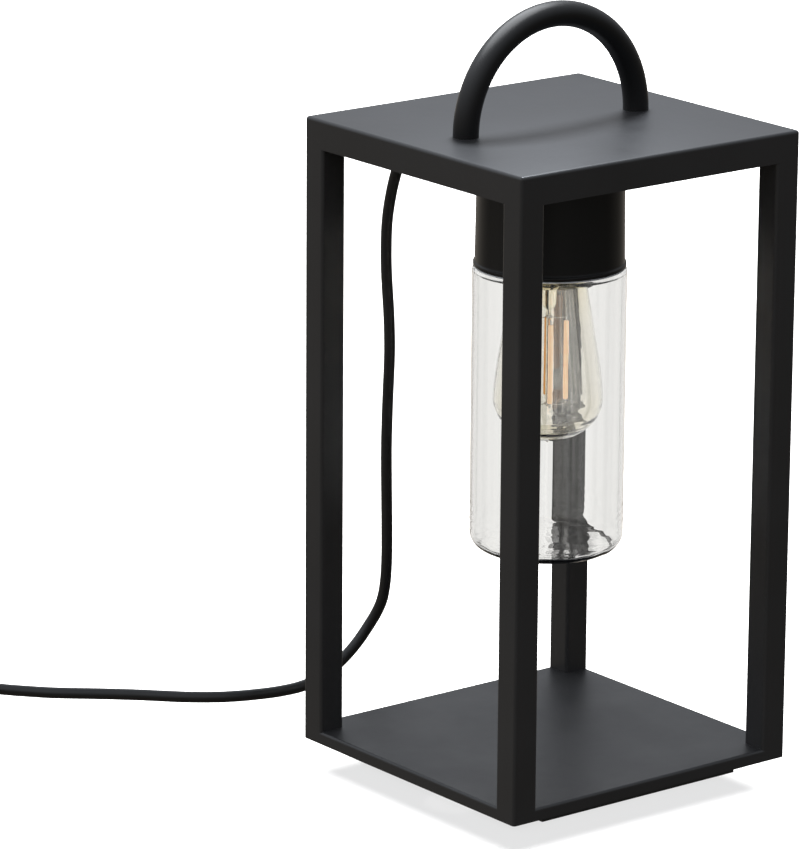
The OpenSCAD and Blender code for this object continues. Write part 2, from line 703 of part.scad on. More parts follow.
// flat plug: a waist at the cord, a full width at the pins
module plug_slice(w, t, r) {
    linear_extrude(0.5) hull() for (c = corners)
        translate([c.x * (w / 2 - r), c.y * (t / 2 - r)]) circle(r, $fn = 24);
}
module plug_body() {
    color("black") at_plug() translate([0, 0, plug_boot_l]) {
        hull() {
            plug_slice(plug_w * 0.5, plug_t * 0.8, 4);
            translate([0, 0, plug_l * 0.4]) plug_slice(plug_w, plug_t, 5);
        }
        hull() {
            translate([0, 0, plug_l * 0.4]) plug_slice(plug_w, plug_t, 5);
            translate([0, 0, plug_l - 2]) plug_slice(plug_w, plug_t, 5);
            translate([0, 0, plug_l - 0.5]) plug_slice(plug_w - 3, plug_t - 3, 4);
        }
    }
}

module plug_pins() {
    color("silver") at_plug() for (x = [-1, 1])
        translate([x * pin_span / 2, 0, plug_boot_l + plug_l]) {
            cylinder(d = pin_d, h = pin_l - pin_d / 2);
            translate([0, 0, pin_l - pin_d / 2]) sphere(d = pin_d);
        }
}

// ---------- bulb ----------

glass_l = bulb_l - cap_h;
cap_r = cap_d / 2;
// outline of the glass above its widest place: the long taper, then the shoulder
function glass_side(w) = let (belly = bulb_d / 2 - w, waist = bulb_shoulder_d / 2 - w, neck = cap_r - w,
    top = glass_l - bulb_shoulder_h) concat(
    bezier([belly, bulb_belly], [belly, bulb_belly + 15], [waist + 2, top - 15], [waist, top], 10),
    bezier([waist, top], [waist - 1.2, top + 9], [neck + 1.2, glass_l - 9], [neck, glass_l - 0.5], 8));
function glass_bowl(w) = [for (a = [4:8:84])
    [(bulb_d / 2 - w) * sin(a), bulb_belly - (bulb_belly - 2 - w) * cos(a)]];
module bulb_envelope() {
    throat = cap_r - 0.8;
    outer = concat([[0, 0], [0.8, 0], [1.9, 2.05]], glass_bowl(0), glass_side(0),
        [[throat, glass_l - 0.5], [throat, glass_l + 6]]);
    inner = concat([[0, 2 + bulb_wall]], glass_bowl(bulb_wall), glass_side(bulb_wall + 0.3),
        [[throat - bulb_wall, glass_l + 6]]);
    color("wheat", 0.5) translate([0, 0, z_tip]) rotate_extrude() polygon(concat(outer, reversed(inner)));
}

module bulb_cap() {
    color("silver") translate([0, 0, z_mouth]) rotate_extrude() polygon([
        [cap_r - 0.6, 0], [cap_r, 0], [cap_r, cap_h - 6], [cap_r - 4.2, cap_h - 4.4],
        [cap_r - 4.8, cap_h - 4.9], [cap_r - 0.6, cap_h - 6.4]]);
}

module bulb_insulator() {
    color("black") translate([0, 0, z_contact]) rotate_extrude() polygon([
        [0, -4.9], [cap_r - 4.85, -4.85], [cap_r - 4.25, -4.35], [5, -1.2], [0, -1.2]]);
}

module bulb_contact() {
    color("silver") translate([0, 0, z_contact]) rotate_extrude() polygon([
        [0, -1.2], [4.6, -1.2], [4.2, -0.5], [3, -0.1], [0, 0]]);
}

// glass mount: a flared foot in the neck, a pressed seal and a thin rod
filament_low = 23.5;
rod_r = 1.5;
module bulb_stem() {
    seat = cap_r - 0.8 - bulb_wall - play;
    press = 0.7 * glass_l;
    color("lightgray", 0.6) translate([0, 0, z_tip]) rotate_extrude() polygon(concat(
        [[0, filament_low - 2], [rod_r, filament_low - 2], [rod_r, press]],
        bezier([4, press + 4], [4.6, glass_l - 14], [5.5, glass_l - 6], [seat, glass_l + 3], 8),
        [[seat, glass_l + 5], [seat - 1, glass_l + 5]],
        reversed(bezier([2.5, glass_l - 22], [3.5, glass_l - 12], [4.5, glass_l - 5], [seat - 1, glass_l + 3], 8)),
        [[0, glass_l - 22]]));
}

module each_filament() {
    for (k = [0:filament_n - 1]) rotate(view_turn + 360 * k / filament_n)
        translate([filament_ring_d / 2, 0, 0]) children();
}
view_turn = 47;

module filaments() {
    color("orange") translate([0, 0, z_tip + filament_low]) each_filament()
        cylinder(d = filament_d, h = filament_l);
}

wire_r = 0.35;
module filament_wires() {
    color("silver") translate([0, 0, z_tip + filament_low]) for (z = [-2 * wire_r, filament_l]) {
        translate([0, 0, z]) {
            ring(rod_r + 0.05, rod_r + 0.9, 2 * wire_r);
            for (k = [0:filament_n - 1]) rotate(view_turn + 360 * k / filament_n)
                translate([rod_r + 0.5, -wire_r, 0])
                    cube([filament_ring_d / 2 - rod_r - 0.5 + filament_d / 2, 2 * wire_r, 2 * wire_r]);
        }
    }
}

top_tray();
tray_cover();
cover_screws();
post_front();
post_right();
post_left();
post_back();
post_plugs();
post_screws();
base_tray();
foot_strips();
handle_tube();
handle_plugs();
handle_washers();
handle_screws();
lamp_cup();
cup_screws();
seal_ring();
glass_jar();
holder_cap();
holder_skirt();
holder_insert();
holder_shell();
holder_contact();
holder_terminals();
holder_nipple();
nipple_nut();
terminal_block();
terminal_barrels();
inner_leads();
inner_cord();
cord_cores();
cord_clamp();
clamp_screws();
cord_bush();
cord_lead();
cord_coil();
coil_tie();
cord_tail();
plug_relief();
plug_body();
plug_pins();
bulb_cap();
bulb_insulator();
bulb_contact();
bulb_envelope();
bulb_stem();
filaments();
filament_wires();
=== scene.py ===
import math

import bpy
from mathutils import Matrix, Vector


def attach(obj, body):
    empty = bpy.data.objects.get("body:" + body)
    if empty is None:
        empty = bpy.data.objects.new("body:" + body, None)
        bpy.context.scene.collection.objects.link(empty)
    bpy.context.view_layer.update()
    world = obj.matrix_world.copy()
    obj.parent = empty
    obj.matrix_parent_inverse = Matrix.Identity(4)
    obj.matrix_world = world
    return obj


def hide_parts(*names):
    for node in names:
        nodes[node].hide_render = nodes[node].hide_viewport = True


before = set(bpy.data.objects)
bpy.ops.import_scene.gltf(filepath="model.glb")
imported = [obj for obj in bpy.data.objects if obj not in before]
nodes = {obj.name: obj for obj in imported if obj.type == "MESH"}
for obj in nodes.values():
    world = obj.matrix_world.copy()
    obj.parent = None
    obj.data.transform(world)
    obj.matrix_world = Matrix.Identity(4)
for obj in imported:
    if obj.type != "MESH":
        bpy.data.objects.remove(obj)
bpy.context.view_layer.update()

mm = 0.001
awayFromCamera = (0.615, 0.789, 0)  # the way the camera looks, kept level


# ways of working

def deselect():
    if bpy.context.mode != "OBJECT":
        bpy.ops.object.mode_set(mode="OBJECT")
    bpy.ops.object.select_all(action="DESELECT")


def take(piece):
    deselect()
    piece.select_set(True)
    bpy.context.view_layer.objects.active = piece


def applyModifier(piece, kind, **settings):
    modifier = piece.modifiers.new(kind.title(), kind)
    for setting, value in settings.items():
        setattr(modifier, setting, value)
    take(piece)
    bpy.ops.object.modifier_apply(modifier=modifier.name)


def cut(piece, tool):
    applyModifier(piece, "BOOLEAN", object=tool, operation="DIFFERENCE", solver="EXACT")
    bpy.data.objects.remove(tool)


def fuse(piece, other):
    applyModifier(piece, "BOOLEAN", object=other, operation="UNION", solver="EXACT")
    bpy.data.objects.remove(other)


def settle(piece):
    # puts the piece's place, turn and size into its mesh
    take(piece)
    bpy.ops.object.transform_apply(location=True, rotation=True, scale=True)


def join(pieces):
    deselect()
    for piece in pieces:
        piece.select_set(True)
    bpy.context.view_layer.objects.active = pieces[0]
    bpy.ops.object.join()
    return pieces[0]


def copyOf(piece, move=(0, 0, 0), turn=0):
    # turn is about the lamp's own axis, in degrees
    take(piece)
    bpy.ops.object.duplicate()
    twin = bpy.context.object
    bpy.ops.transform.translate(value=Vector(move) * mm)
    if turn:
        twin.rotation_euler.z = math.radians(turn)
    settle(twin)
    return twin


def roundTheAxis(piece, count):
    # the piece and its copies, evenly placed round the lamp's axis
    return join([piece] + [copyOf(piece, turn=360 * i / count) for i in range(1, count)])


def pickFaces(piece, test):
    take(piece)
    bpy.ops.object.mode_set(mode="EDIT")
    bpy.ops.mesh.select_mode(type="FACE")
    bpy.ops.mesh.select_all(action="DESELECT")
    bpy.ops.object.mode_set(mode="OBJECT")
    for face in piece.data.polygons:
        face.select = test(face.center / mm, face.normal)
    bpy.ops.object.mode_set(mode="EDIT")


def pickEdges(piece, test):
    take(piece)
    bpy.ops.object.mode_set(mode="EDIT")
    bpy.ops.mesh.select_mode(type="EDGE")
    bpy.ops.mesh.select_all(action="DESELECT")
    bpy.ops.object.mode_set(mode="OBJECT")
    corner = piece.data.vertices
    for edge in piece.data.edges:
        edge.select = test(corner[edge.vertices[0]].co / mm, corner[edge.vertices[1]].co / mm)
    bpy.ops.object.mode_set(mode="EDIT")


def roundPicked(radius, segments=4):
    bpy.ops.mesh.bevel(offset=radius * mm, segments=segments, affect="EDGES")
    bpy.ops.object.mode_set(mode="OBJECT")


def isUpright(a, b):
    return abs(a.z - b.z) > 0.1 and abs(a.x - b.x) < 0.01 and abs(a.y - b.y) < 0.01


def isAlong(a, b):
    return abs(a.z - b.z) > 5


def block(size, centre):
    deselect()
    bpy.ops.mesh.primitive_cube_add(size=1, location=Vector(centre) * mm, scale=Vector(size) * mm)
    piece = bpy.context.object
    settle(piece)
    return piece


def softBlock(size, centre, radius, segments=3):
    piece = block(size, centre)
    pickEdges(piece, lambda a, b: True)
    roundPicked(radius, segments)
    return piece


def rod(radius, low, high, place=(0, 0), sides=48, edge=0):
    deselect()
    middle = (place[0] * mm, place[1] * mm, (low + high) / 2 * mm)
    bpy.ops.mesh.primitive_cylinder_add(vertices=sides, radius=radius * mm, depth=(high - low) * mm,
                                        location=middle)
    piece = bpy.context.object
    settle(piece)
    if edge:
        pickEdges(piece, lambda a, b: abs(a.z - b.z) < 0.001)
        roundPicked(edge, 3)
    return piece


def arc(x, z, radius, start, stop, steps=10):
    angles = [math.radians(start + (stop - start) * i / steps) for i in range(steps + 1)]
    return [(x + radius * math.cos(angle), z + radius * math.sin(angle)) for angle in angles]


def curveThrough(a, b, c, d, steps=12):
    # a bezier curve from a to d, steered by b and c, in two or three dimensions
    points = []
    for i in range(steps + 1):
        s = i / steps
        t = 1 - s
        points.append(tuple(t ** 3 * p + 3 * t * t * s * q + 3 * t * s * s * r + s ** 3 * u
                            for p, q, r, u in zip(a, b, c, d)))
    return points


def turned(outline, steps=96, closed=True):
    # an outline of (radius, height) in millimetres, drawn point by point and spun round the lamp's axis
    deselect()
    bpy.ops.mesh.primitive_plane_add(size=0.01)
    piece = bpy.context.object
    bpy.ops.object.mode_set(mode="EDIT")
    bpy.ops.mesh.select_mode(type="VERT")
    bpy.ops.mesh.merge(type="CENTER")
    bpy.ops.transform.translate(value=(outline[0][0] * mm, 0, outline[0][1] * mm))
    route = list(outline) + ([outline[0]] if closed else [])
    for here, there in zip(route, route[1:]):
        step = ((there[0] - here[0]) * mm, 0, (there[1] - here[1]) * mm)
        bpy.ops.mesh.extrude_vertices_move(TRANSFORM_OT_translate={"value": step})
    bpy.ops.mesh.select_all(action="SELECT")
    bpy.ops.mesh.spin(steps=steps, angle=2 * math.pi, center=(0, 0, 0), axis=(0, 0, 1))
    bpy.ops.mesh.select_all(action="SELECT")
    bpy.ops.mesh.remove_doubles(threshold=0.000004)
    bpy.ops.mesh.normals_make_consistent(inside=False)
    bpy.ops.object.mode_set(mode="OBJECT")
    return piece


def windThread(piece, low, high, pitch, depth, inner, outer, runOut=2.0):
    # presses a round thread into the walls between two radii, and fades it at both ends
    for vertex in piece.data.vertices:
        x, y, z = vertex.co / mm
        radius = math.hypot(x, y)
        if not (low < z < high and inner < radius < outer):
            continue
        turn = math.atan2(y, x) / (2 * math.pi)
        fade = min(1, (z - low) / runOut, (high - z) / runOut)
        wave = 0.5 - 0.5 * math.cos(2 * math.pi * (z / pitch - turn))
        scale = (radius - depth * wave * fade) / radius
        vertex.co.x *= scale
        vertex.co.y *= scale


def strand(points, thickness, radii=None, fineness=4):
    # a round strand through points in millimetres, with a radius factor for each point
    data = bpy.data.curves.new("strand", "CURVE")
    data.dimensions = "3D"
    data.bevel_depth = thickness / 2 * mm
    data.bevel_resolution = fineness
    data.use_fill_caps = True
    line = data.splines.new("POLY")
    line.points.add(len(points) - 1)
    for i, point in enumerate(points):
        line.points[i].co = (point[0] * mm, point[1] * mm, point[2] * mm, 1)
        line.points[i].radius = radii[i] if radii else 1
    piece = bpy.data.objects.new("strand", data)
    bpy.context.scene.collection.objects.link(piece)
    return piece


def madeMesh(piece):
    take(piece)
    bpy.ops.object.convert(target="MESH")
    return bpy.context.object


def eased(points, times=1):
    # one more point halfway along each stretch, on a curve through all the points
    for _ in range(times):
        last = len(points) - 1
        finer = []
        for i in range(last):
            four = (points[max(0, i - 1)], points[i], points[i + 1], points[min(last, i + 2)])
            finer += [points[i], tuple((9 * (q + r) - p - s) / 16 for p, q, r, s in zip(*four))]
        points = finer + [points[last]]
    return points


def finishPiece(piece, name, material, stands=(), body="frame", angle=35, flat=False):
    if piece.type == "MESH":
        settle(piece)
        bpy.ops.object.shade_smooth_by_angle(angle=math.radians(angle))
        if flat:
            # keeps the wide faces flat beside their rounded edges
            applyModifier(piece, "WEIGHTED_NORMAL", keep_sharp=True)
    piece.name = name
    piece.data.name = name
    piece.data.materials.clear()
    piece.data.materials.append(material)
    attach(piece, body)
    if stands:
        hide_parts(*stands)
    return piece


# materials

def newFinish(name, **values):
    material = bpy.data.materials.new(name)
    material.use_nodes = True
    shader = material.node_tree.nodes["Principled BSDF"]
    for socket, value in values.items():
        socket = shader.inputs[socket.replace("_", " ")]
        socket.default_value = (*value, 1) if isinstance(value, tuple) else value
    return material, shader, material.node_tree


def noiseOn(tree, scale, detail=2, stretch=None):
    nodesOf, links = tree.nodes, tree.links
    place = nodesOf.new("ShaderNodeTexCoord")
    source = place.outputs["Object"]
    if stretch:
        mapping = nodesOf.new("ShaderNodeMapping")
        mapping.inputs["Scale"].default_value = stretch
        links.new(source, mapping.inputs["Vector"])
        source = mapping.outputs["Vector"]
    noise = nodesOf.new("ShaderNodeTexNoise")
    noise.inputs["Scale"].default_value = scale
    noise.inputs["Detail"].default_value = detail
    links.new(source, noise.inputs["Vector"])
    return noise.outputs["Fac"]


def spread(tree, value, low, high, start=0.3, stop=0.7):
    ramp = tree.nodes.new("ShaderNodeMapRange")
    ramp.inputs["From Min"].default_value = start
    ramp.inputs["From Max"].default_value = stop
    ramp.inputs["To Min"].default_value = low
    ramp.inputs["To Max"].default_value = high
    tree.links.new(value, ramp.inputs["Value"])
    return ramp.outputs["Result"]


def rampOf(tree, value, stops):
    # a colour for a value from 0 to 1, through (value, colour) stops
    ramp = tree.nodes.new("ShaderNodeValToRGB")
    elements = ramp.color_ramp.elements
    for element, (position, colour) in zip(elements, (stops[0], stops[-1])):
        element.position, element.color = position, (*colour, 1)
    for position, colour in stops[1:-1]:
        elements.new(position).color = (*colour, 1)
    tree.links.new(value, ramp.inputs["Fac"])
    return ramp.outputs["Color"]


def blend(tree, value, dark, light):
    return rampOf(tree, value, [(0.3, dark), (0.7, light)])


def pointingTo(tree, vector, way):
    # how far a vector points one way
    product = tree.nodes.new("ShaderNodeVectorMath")
    product.operation = "DOT_PRODUCT"
    product.inputs[1].default_value = way
    tree.links.new(vector, product.inputs[0])
    return product.outputs["Value"]


def calculate(tree, operation, *values):
    # each value is a plain number or another node's output
    node = tree.nodes.new("ShaderNodeMath")
    node.operation = operation
    for socket, value in zip(node.inputs, values):
        if isinstance(value, (int, float)):
            socket.default_value = value
        else:
            tree.links.new(value, socket)
    return node.outputs[0]


def bumpFrom(tree, shader, value, height):
    bump = tree.nodes.new("ShaderNodeBump")
    bump.inputs["Distance"].default_value = height * mm
    tree.links.new(value, bump.inputs["Height"])
    tree.links.new(bump.outputs["Normal"], shader.inputs["Normal"])


def powderCoat(name, dark, light, smooth, rough, grain=1300, height=0.012, ior=1.5):
    material, shader, tree = newFinish(name, IOR=ior)
    cloud = noiseOn(tree, 14, detail=4)
    tree.links.new(blend(tree, cloud, dark, light), shader.inputs["Base Color"])
    tree.links.new(spread(tree, noiseOn(tree, 26, detail=5), smooth, rough), shader.inputs["Roughness"])
    bumpFrom(tree, shader, noiseOn(tree, grain, detail=1), height)
    return material


def metal(name, colour, smooth, rough):
    material, shader, tree = newFinish(name, Base_Color=colour, Metallic=1.0)
    streaks = noiseOn(tree, 500, detail=3, stretch=(1, 1, 8))
    tree.links.new(spread(tree, streaks, smooth, rough), shader.inputs["Roughness"])
    bumpFrom(tree, shader, streaks, 0.004)
    return material


def plastic(name, dark, light, smooth, rough, grain=900, height=0.006):
    material, shader, tree = newFinish(name)
    tree.links.new(blend(tree, noiseOn(tree, 60, detail=3), dark, light), shader.inputs["Base Color"])
    tree.links.new(spread(tree, noiseOn(tree, 120, detail=3), smooth, rough), shader.inputs["Roughness"])
    bumpFrom(tree, shader, noiseOn(tree, grain, detail=2), height)
    return material


def clearGlass(name, colour, wave, waveSize, ior, tint=None):
    material, shader, tree = newFinish(name, Base_Color=colour, Roughness=0.0, IOR=ior,
                                       Transmission_Weight=1.0)
    if tint:
        # colour by height, as (millimetres above the table, colour)
        place, split = tree.nodes.new("ShaderNodeTexCoord"), tree.nodes.new("ShaderNodeSeparateXYZ")
        tree.links.new(place.outputs["Object"], split.inputs["Vector"])
        low, high = tint[0][0], tint[-1][0]
        level = spread(tree, split.outputs["Z"], 0, 1, low * mm, high * mm)
        stops = [((height - low) / (high - low), shade) for height, shade in tint]
        tree.links.new(rampOf(tree, level, stops), shader.inputs["Base Color"])
    # blown glass is never quite even: long faint ripples along its height
    bumpFrom(tree, shader, noiseOn(tree, waveSize, detail=1, stretch=(1, 1, 0.12)), wave)
    return material


def paintedGlow(name, dark, light, near, far):
    # painted glow: the coat gives off light though the bulb is unlit, so it never looks dark, and the glow is
    # painted darker on the strips farther from the camera, as painted shade
    material, shader, tree = newFinish(name, Roughness=0.45, Emission_Strength=1.0)
    tree.links.new(blend(tree, noiseOn(tree, 220, detail=3), dark, light), shader.inputs["Base Color"])
    place = tree.nodes.new("ShaderNodeTexCoord")
    # painted shade: the glow colour goes from near to far along the camera's level view direction
    depth = spread(tree, pointingTo(tree, place.outputs["Object"], awayFromCamera), 0, 1, 0, 8 * mm)
    tree.links.new(blend(tree, depth, near, far), shader.inputs["Emission Color"])
    bumpFrom(tree, shader, noiseOn(tree, 2500, detail=2), 0.03)
    return material


slatePaint = powderCoat("slatePaint", (0.016, 0.016, 0.0165), (0.021, 0.021, 0.022), 0.40, 0.47)
cupPaint = powderCoat("cupPaint", (0.003, 0.003, 0.003), (0.0045, 0.0045, 0.0043), 0.38, 0.44,
                      height=0.006, ior=1.4)
handlePaint = powderCoat("handlePaint", (0.003, 0.003, 0.0034), (0.0045, 0.0045, 0.005), 0.34, 0.42,
                         ior=1.4)
zinc = metal("zinc", (0.60, 0.60, 0.58), 0.28, 0.42)
aluminium = metal("aluminium", (0.80, 0.80, 0.81), 0.16, 0.28)
brass = metal("brass", (0.72, 0.50, 0.22), 0.22, 0.36)
steelWire = metal("steelWire", (0.62, 0.61, 0.60), 0.2, 0.3)
jarGlass = clearGlass("jarGlass", (0.938, 0.935, 0.922), 0.012, 90, 1.42)
# the bulb's glass is clear at its belly and amber towards its tip and its cap
bulbTint = [(190, (0.93, 0.88, 0.70)), (197, (0.965, 0.94, 0.86)), (225, (0.985, 0.972, 0.93)),
            (262, (0.985, 0.970, 0.92)), (290, (0.96, 0.92, 0.80)), (304, (0.92, 0.85, 0.64))]
bulbGlass = clearGlass("bulbGlass", (0.985, 0.972, 0.93), 0.030, 240, 1.85, bulbTint)
stemGlass = clearGlass("stemGlass", (0.96, 0.93, 0.84), 0.02, 200, 1.22)
# the unlit filament strips get a painted orange glow, with painted shade on the far ones
phosphorPaintedGlow = paintedGlow("phosphorPaintedGlow", (0.90, 0.46, 0.16), (0.98, 0.62, 0.30), (0.66, 0.47, 0.31), (0.42, 0.19, 0.05))
blackPlastic = plastic("blackPlastic", (0.010, 0.010, 0.010), (0.014, 0.014, 0.014), 0.36, 0.44)
blackRubber = plastic("blackRubber", (0.012, 0.012, 0.012), (0.018, 0.018, 0.018), 0.55, 0.7, height=0.015)
clearRubber = plastic("clearRubber", (0.62, 0.64, 0.66), (0.70, 0.72, 0.74), 0.35, 0.45)
whitePlastic = plastic("whitePlastic", (0.72, 0.71, 0.67), (0.79, 0.78, 0.74), 0.38, 0.46)
ceramic = plastic("ceramic", (0.74, 0.72, 0.66), (0.82, 0.80, 0.75), 0.18, 0.3, grain=300, height=0.02)
brownSleeve = plastic("brownSleeve", (0.16, 0.06, 0.02), (0.20, 0.08, 0.03), 0.3, 0.4)
cordSheath = plastic("cordSheath", (0.004, 0.004, 0.004), (0.007, 0.007, 0.0075), 0.36, 0.46,
                     grain=700, height=0.01)
print("finishes ready")


# camera and cord come first

cameraPlace = {
    "place": (-1.9908, -2.40645, 1.06788),
    "turn": (74.466, -0.377, -37.921),
    "lens": 236.04,
}


def placeCamera():
    deselect()
    turn = [math.radians(angle) for angle in cameraPlace["turn"]]
    bpy.ops.object.camera_add(location=cameraPlace["place"], rotation=turn)
    camera = bpy.context.object
    camera.data.lens = cameraPlace["lens"]
    camera.data.clip_end = 60
    bpy.context.scene.camera = camera


placeCamera()

frameSize = {
    "width": 205,
    "depth": 198,
    "bottom": 2.8,
    "top": 380.3,
    "tray": 17.5,
    "base": 7.5,
    "post": 16.8,
    "sheet": 1.5,
    "edge": 2,
}
halfWidth, halfDepth = frameSize["width"] / 2, frameSize["depth"] / 2

cordSize = {
    "diameter": 7,
    "exitHeight": 370.3,
    "coilRadius": 43.5,
    "coilTurns": 5.5,
    "coilGap": 0.5,
    "tail": 30,
    "plugThickness": 14,
}
cordRoute = [
    (0, 122.5, 358), (0, 134, 344), (0, 143, 328), (0, 149.5, 310), (0, 153.5, 289),
    (0, 153.5, 262), (0, 151, 237), (0, 150, 212), (0, 151.5, 182), (0, 152.5, 152), (0, 152, 122),
    (0, 151.5, 97), (0, 152, 74), (-1, 155, 54.7), (-6, 161, 38.7), (-16, 164.5, 24.7),
    (-29, 168.5, 12.7), (-44, 171.5, 5.7), (-60, 175, 3.5), (-78, 179, 3.5), (-97, 187, 3.5),
    (-116, 201, 3.5), (-135, 220, 3.5), (-155, 238, 3.5), (-176, 256, 3.5), (-196, 278, 3.7),
    (-212, 297, 4.2), (-222, 309, 4.5), (-226, 314, 4.5),
]

# the coil spirals in, climbs one layer where it turns back, and spirals out again
coilLayer = cordSize["diameter"] + cordSize["coilGap"]
coilHeading = (Vector(cordRoute[-1]) - Vector(cordRoute[-2])).normalized()
coilStartAngle = math.degrees(math.atan2(coilHeading.y, coilHeading.x)) - 90
coilTurn = 360 * cordSize["coilTurns"] - coilStartAngle
coilCentre = (Vector(cordRoute[-1]) + cordSize["diameter"] * coilHeading
              - cordSize["coilRadius"] * Vector((math.cos(math.radians(coilStartAngle)),
                                                 math.sin(math.radians(coilStartAngle)), 0)))


def coilPoint(turn):
    radius = cordSize["coilRadius"] - coilLayer * min(turn, coilTurn - turn) / 360
    climb = coilLayer * max(0, min(1, (turn - coilTurn / 2 + 90) / 180))
    angle = math.radians(coilStartAngle + turn)
    return (coilCentre.x + radius * math.cos(angle), coilCentre.y + radius * math.sin(angle),
            coilCentre.z + climb)


def layCord():
    steps = round(coilTurn / 5)
    coil = [coilPoint(coilTurn * i / steps) for i in range(steps + 1)]
    end = Vector(coil[-1]) - Vector((0, cordSize["diameter"], 0))
    drop = cordSize["plugThickness"] / 2 - end.z
    tail = []
    for i in range(13):
        s = i / 12
        tail.append((end.x, end.y - (cordSize["tail"] + cordSize["diameter"]) * s,
                     end.z + drop * (3 * s * s - 2 * s ** 3)))
    cord = strand(eased(cordRoute, 3) + coil + tail, cordSize["diameter"], fineness=5)
    finishPiece(cord, "cord", cordSheath, ("cord_lead", "cord_coil", "cord_tail"))
    return cord, Vector(tail[-1])


cord, plugStart = layCord()
print("cord laid")


# bush and bend guard where the cord leaves the tray

bushSize = {
    "hole": 4.5,
    "innerFlange": 5.4,
    "flange": 6.3,
    "flangeDepth": 1.5,
    "ribs": 7,
    "rootRadius": 5.4,
    "tipRadius": 4.3,
}


def makeBush():
    exitHeight, sheet = cordSize["exitHeight"], frameSize["sheet"]
    hole, inner, outer = bushSize["hole"], bushSize["innerFlange"], bushSize["flange"]
    depth = bushSize["flangeDepth"]
    outline = [(0, -sheet - 2), (inner, -sheet - 2), (inner, -sheet - 0.1), (hole, -sheet), (hole, 0),
               (outer - 0.3, 0), (outer, 0.3), (outer, depth - 0.6), (outer - 0.6, depth), (0, depth)]
    flange = turned(outline, 48, closed=False)
    flange.rotation_euler.x = math.radians(-90)
    flange.location = (0, halfDepth * mm, exitHeight * mm)
    settle(flange)
    start = Vector(cordRoute[0])
    heading = (Vector(cordRoute[1]) - start).normalized()
    path = curveThrough((0, halfDepth + depth - 1, exitHeight), (0, halfDepth + 9, exitHeight - 1.2),
                        tuple(start - 8 * heading), tuple(start), 140)
    radii = []
    for i in range(len(path)):
        along = i / (len(path) - 1)
        body = bushSize["rootRadius"] + (bushSize["tipRadius"] - bushSize["rootRadius"]) * along
        rib = (along * (bushSize["ribs"] + 0.5)) % 1
        groove = 0.55 if 0.12 < along < 0.93 and rib > 0.62 else 0
        radii.append((body - groove) / 4)
    guard = madeMesh(strand(path, 8, radii, fineness=6))
    bush = join([flange, guard])
    return finishPiece(bush, "cordBush", blackRubber, ("cord_bush",), angle=50)


cordBush = makeBush()


# plug, its bend guard and its pins

plugSize = {
    "width": 35,
    "thickness": cordSize["plugThickness"],
    "length": 36,
    "guard": 20,
    "pin": 4,
    "pinLength": 19,
    "pinSpan": 18.6,
    "sleeve": 9.5,
}


def plugPlace(piece):
    # pieces are made pointing up, then laid along -Y beside the coil
    piece.rotation_euler = (math.radians(90), 0, 0)
    piece.location = plugStart * mm
    settle(piece)
    return piece


def makePlugGuard():
    outline = [(0, 0)]
    for i in range(5):
        low = i * plugSize["guard"] / 5
        outline += [(4.0 + i * 0.23, low), (4.3 + i * 0.25, low + 0.3), (4.4 + i * 0.25, low + 2.6),
                    (4.2 + i * 0.23, low + 3.0), (3.8 + i * 0.2, low + 3.2)]
    outline += [(4.7, plugSize["guard"]), (0, plugSize["guard"])]
    guard = plugPlace(turned(outline, 40, closed=False))
    return finishPiece(guard, "plugGuard", blackRubber, ("plug_relief",), angle=50)


def makePlugBody():
    low = plugSize["guard"]
    waist = low + plugSize["length"] * 0.4
    high = low + plugSize["length"]
    body = block((plugSize["width"] * 0.5, plugSize["thickness"] * 0.8, plugSize["length"] * 0.4),
                 (0, 0, (low + waist) / 2))
    pickFaces(body, lambda centre, normal: normal.z > 0.9)
    bpy.ops.transform.resize(value=(2, 1.25, 1))
    bpy.ops.mesh.extrude_region_move(TRANSFORM_OT_translate={"value": (0, 0, (high - waist) * mm)})
    bpy.ops.mesh.inset(thickness=2.2 * mm)
    bpy.ops.transform.translate(value=(0, 0, -0.5 * mm))
    bpy.ops.object.mode_set(mode="OBJECT")
    pickEdges(body, isAlong)
    roundPicked(4, 6)
    applyModifier(body, "BEVEL", width=0.8 * mm, segments=3, limit_method="ANGLE",
                  angle_limit=math.radians(25))
    # three grip ribs across each flat side
    pieces = [body]
    for i in range(3):
        out = plugSize["thickness"] / 2 - 0.55 + 0.06 * i
        rib = softBlock((15 + 3 * i, 0.5, 1.6), (0, -out, waist - 1 + 5 * i), 0.2, 2)
        pieces += [rib, copyOf(rib, (0, 2 * out, 0))]
    body = plugPlace(join(pieces))
    return finishPiece(body, "plugBody", blackPlastic, ("plug_body",))


def makePins():
    low = plugSize["guard"] + plugSize["length"]
    radius, span = plugSize["pin"] / 2, plugSize["pinSpan"]
    pin = rod(radius - 0.15, low - 1, low + plugSize["pinLength"], (-span / 2, 0), 32, edge=1.2)
    sleeve = rod(radius, low - 1, low + plugSize["sleeve"], (-span / 2, 0), 32, edge=0.2)
    pins = plugPlace(join([pin, copyOf(pin, (span, 0, 0))]))
    sleeves = plugPlace(join([sleeve, copyOf(sleeve, (span, 0, 0))]))
    return (finishPiece(pins, "plugPins", zinc, ("plug_pins",)),
            finishPiece(sleeves, "pinSleeves", blackPlastic, ()))


plugGuard = makePlugGuard()
plugBody = makePlugBody()
plugPins, pinSleeves = makePins()


tieSize = {
    "width": 9,
    "thickness": 0.6,
    "corner": 1.8,
}


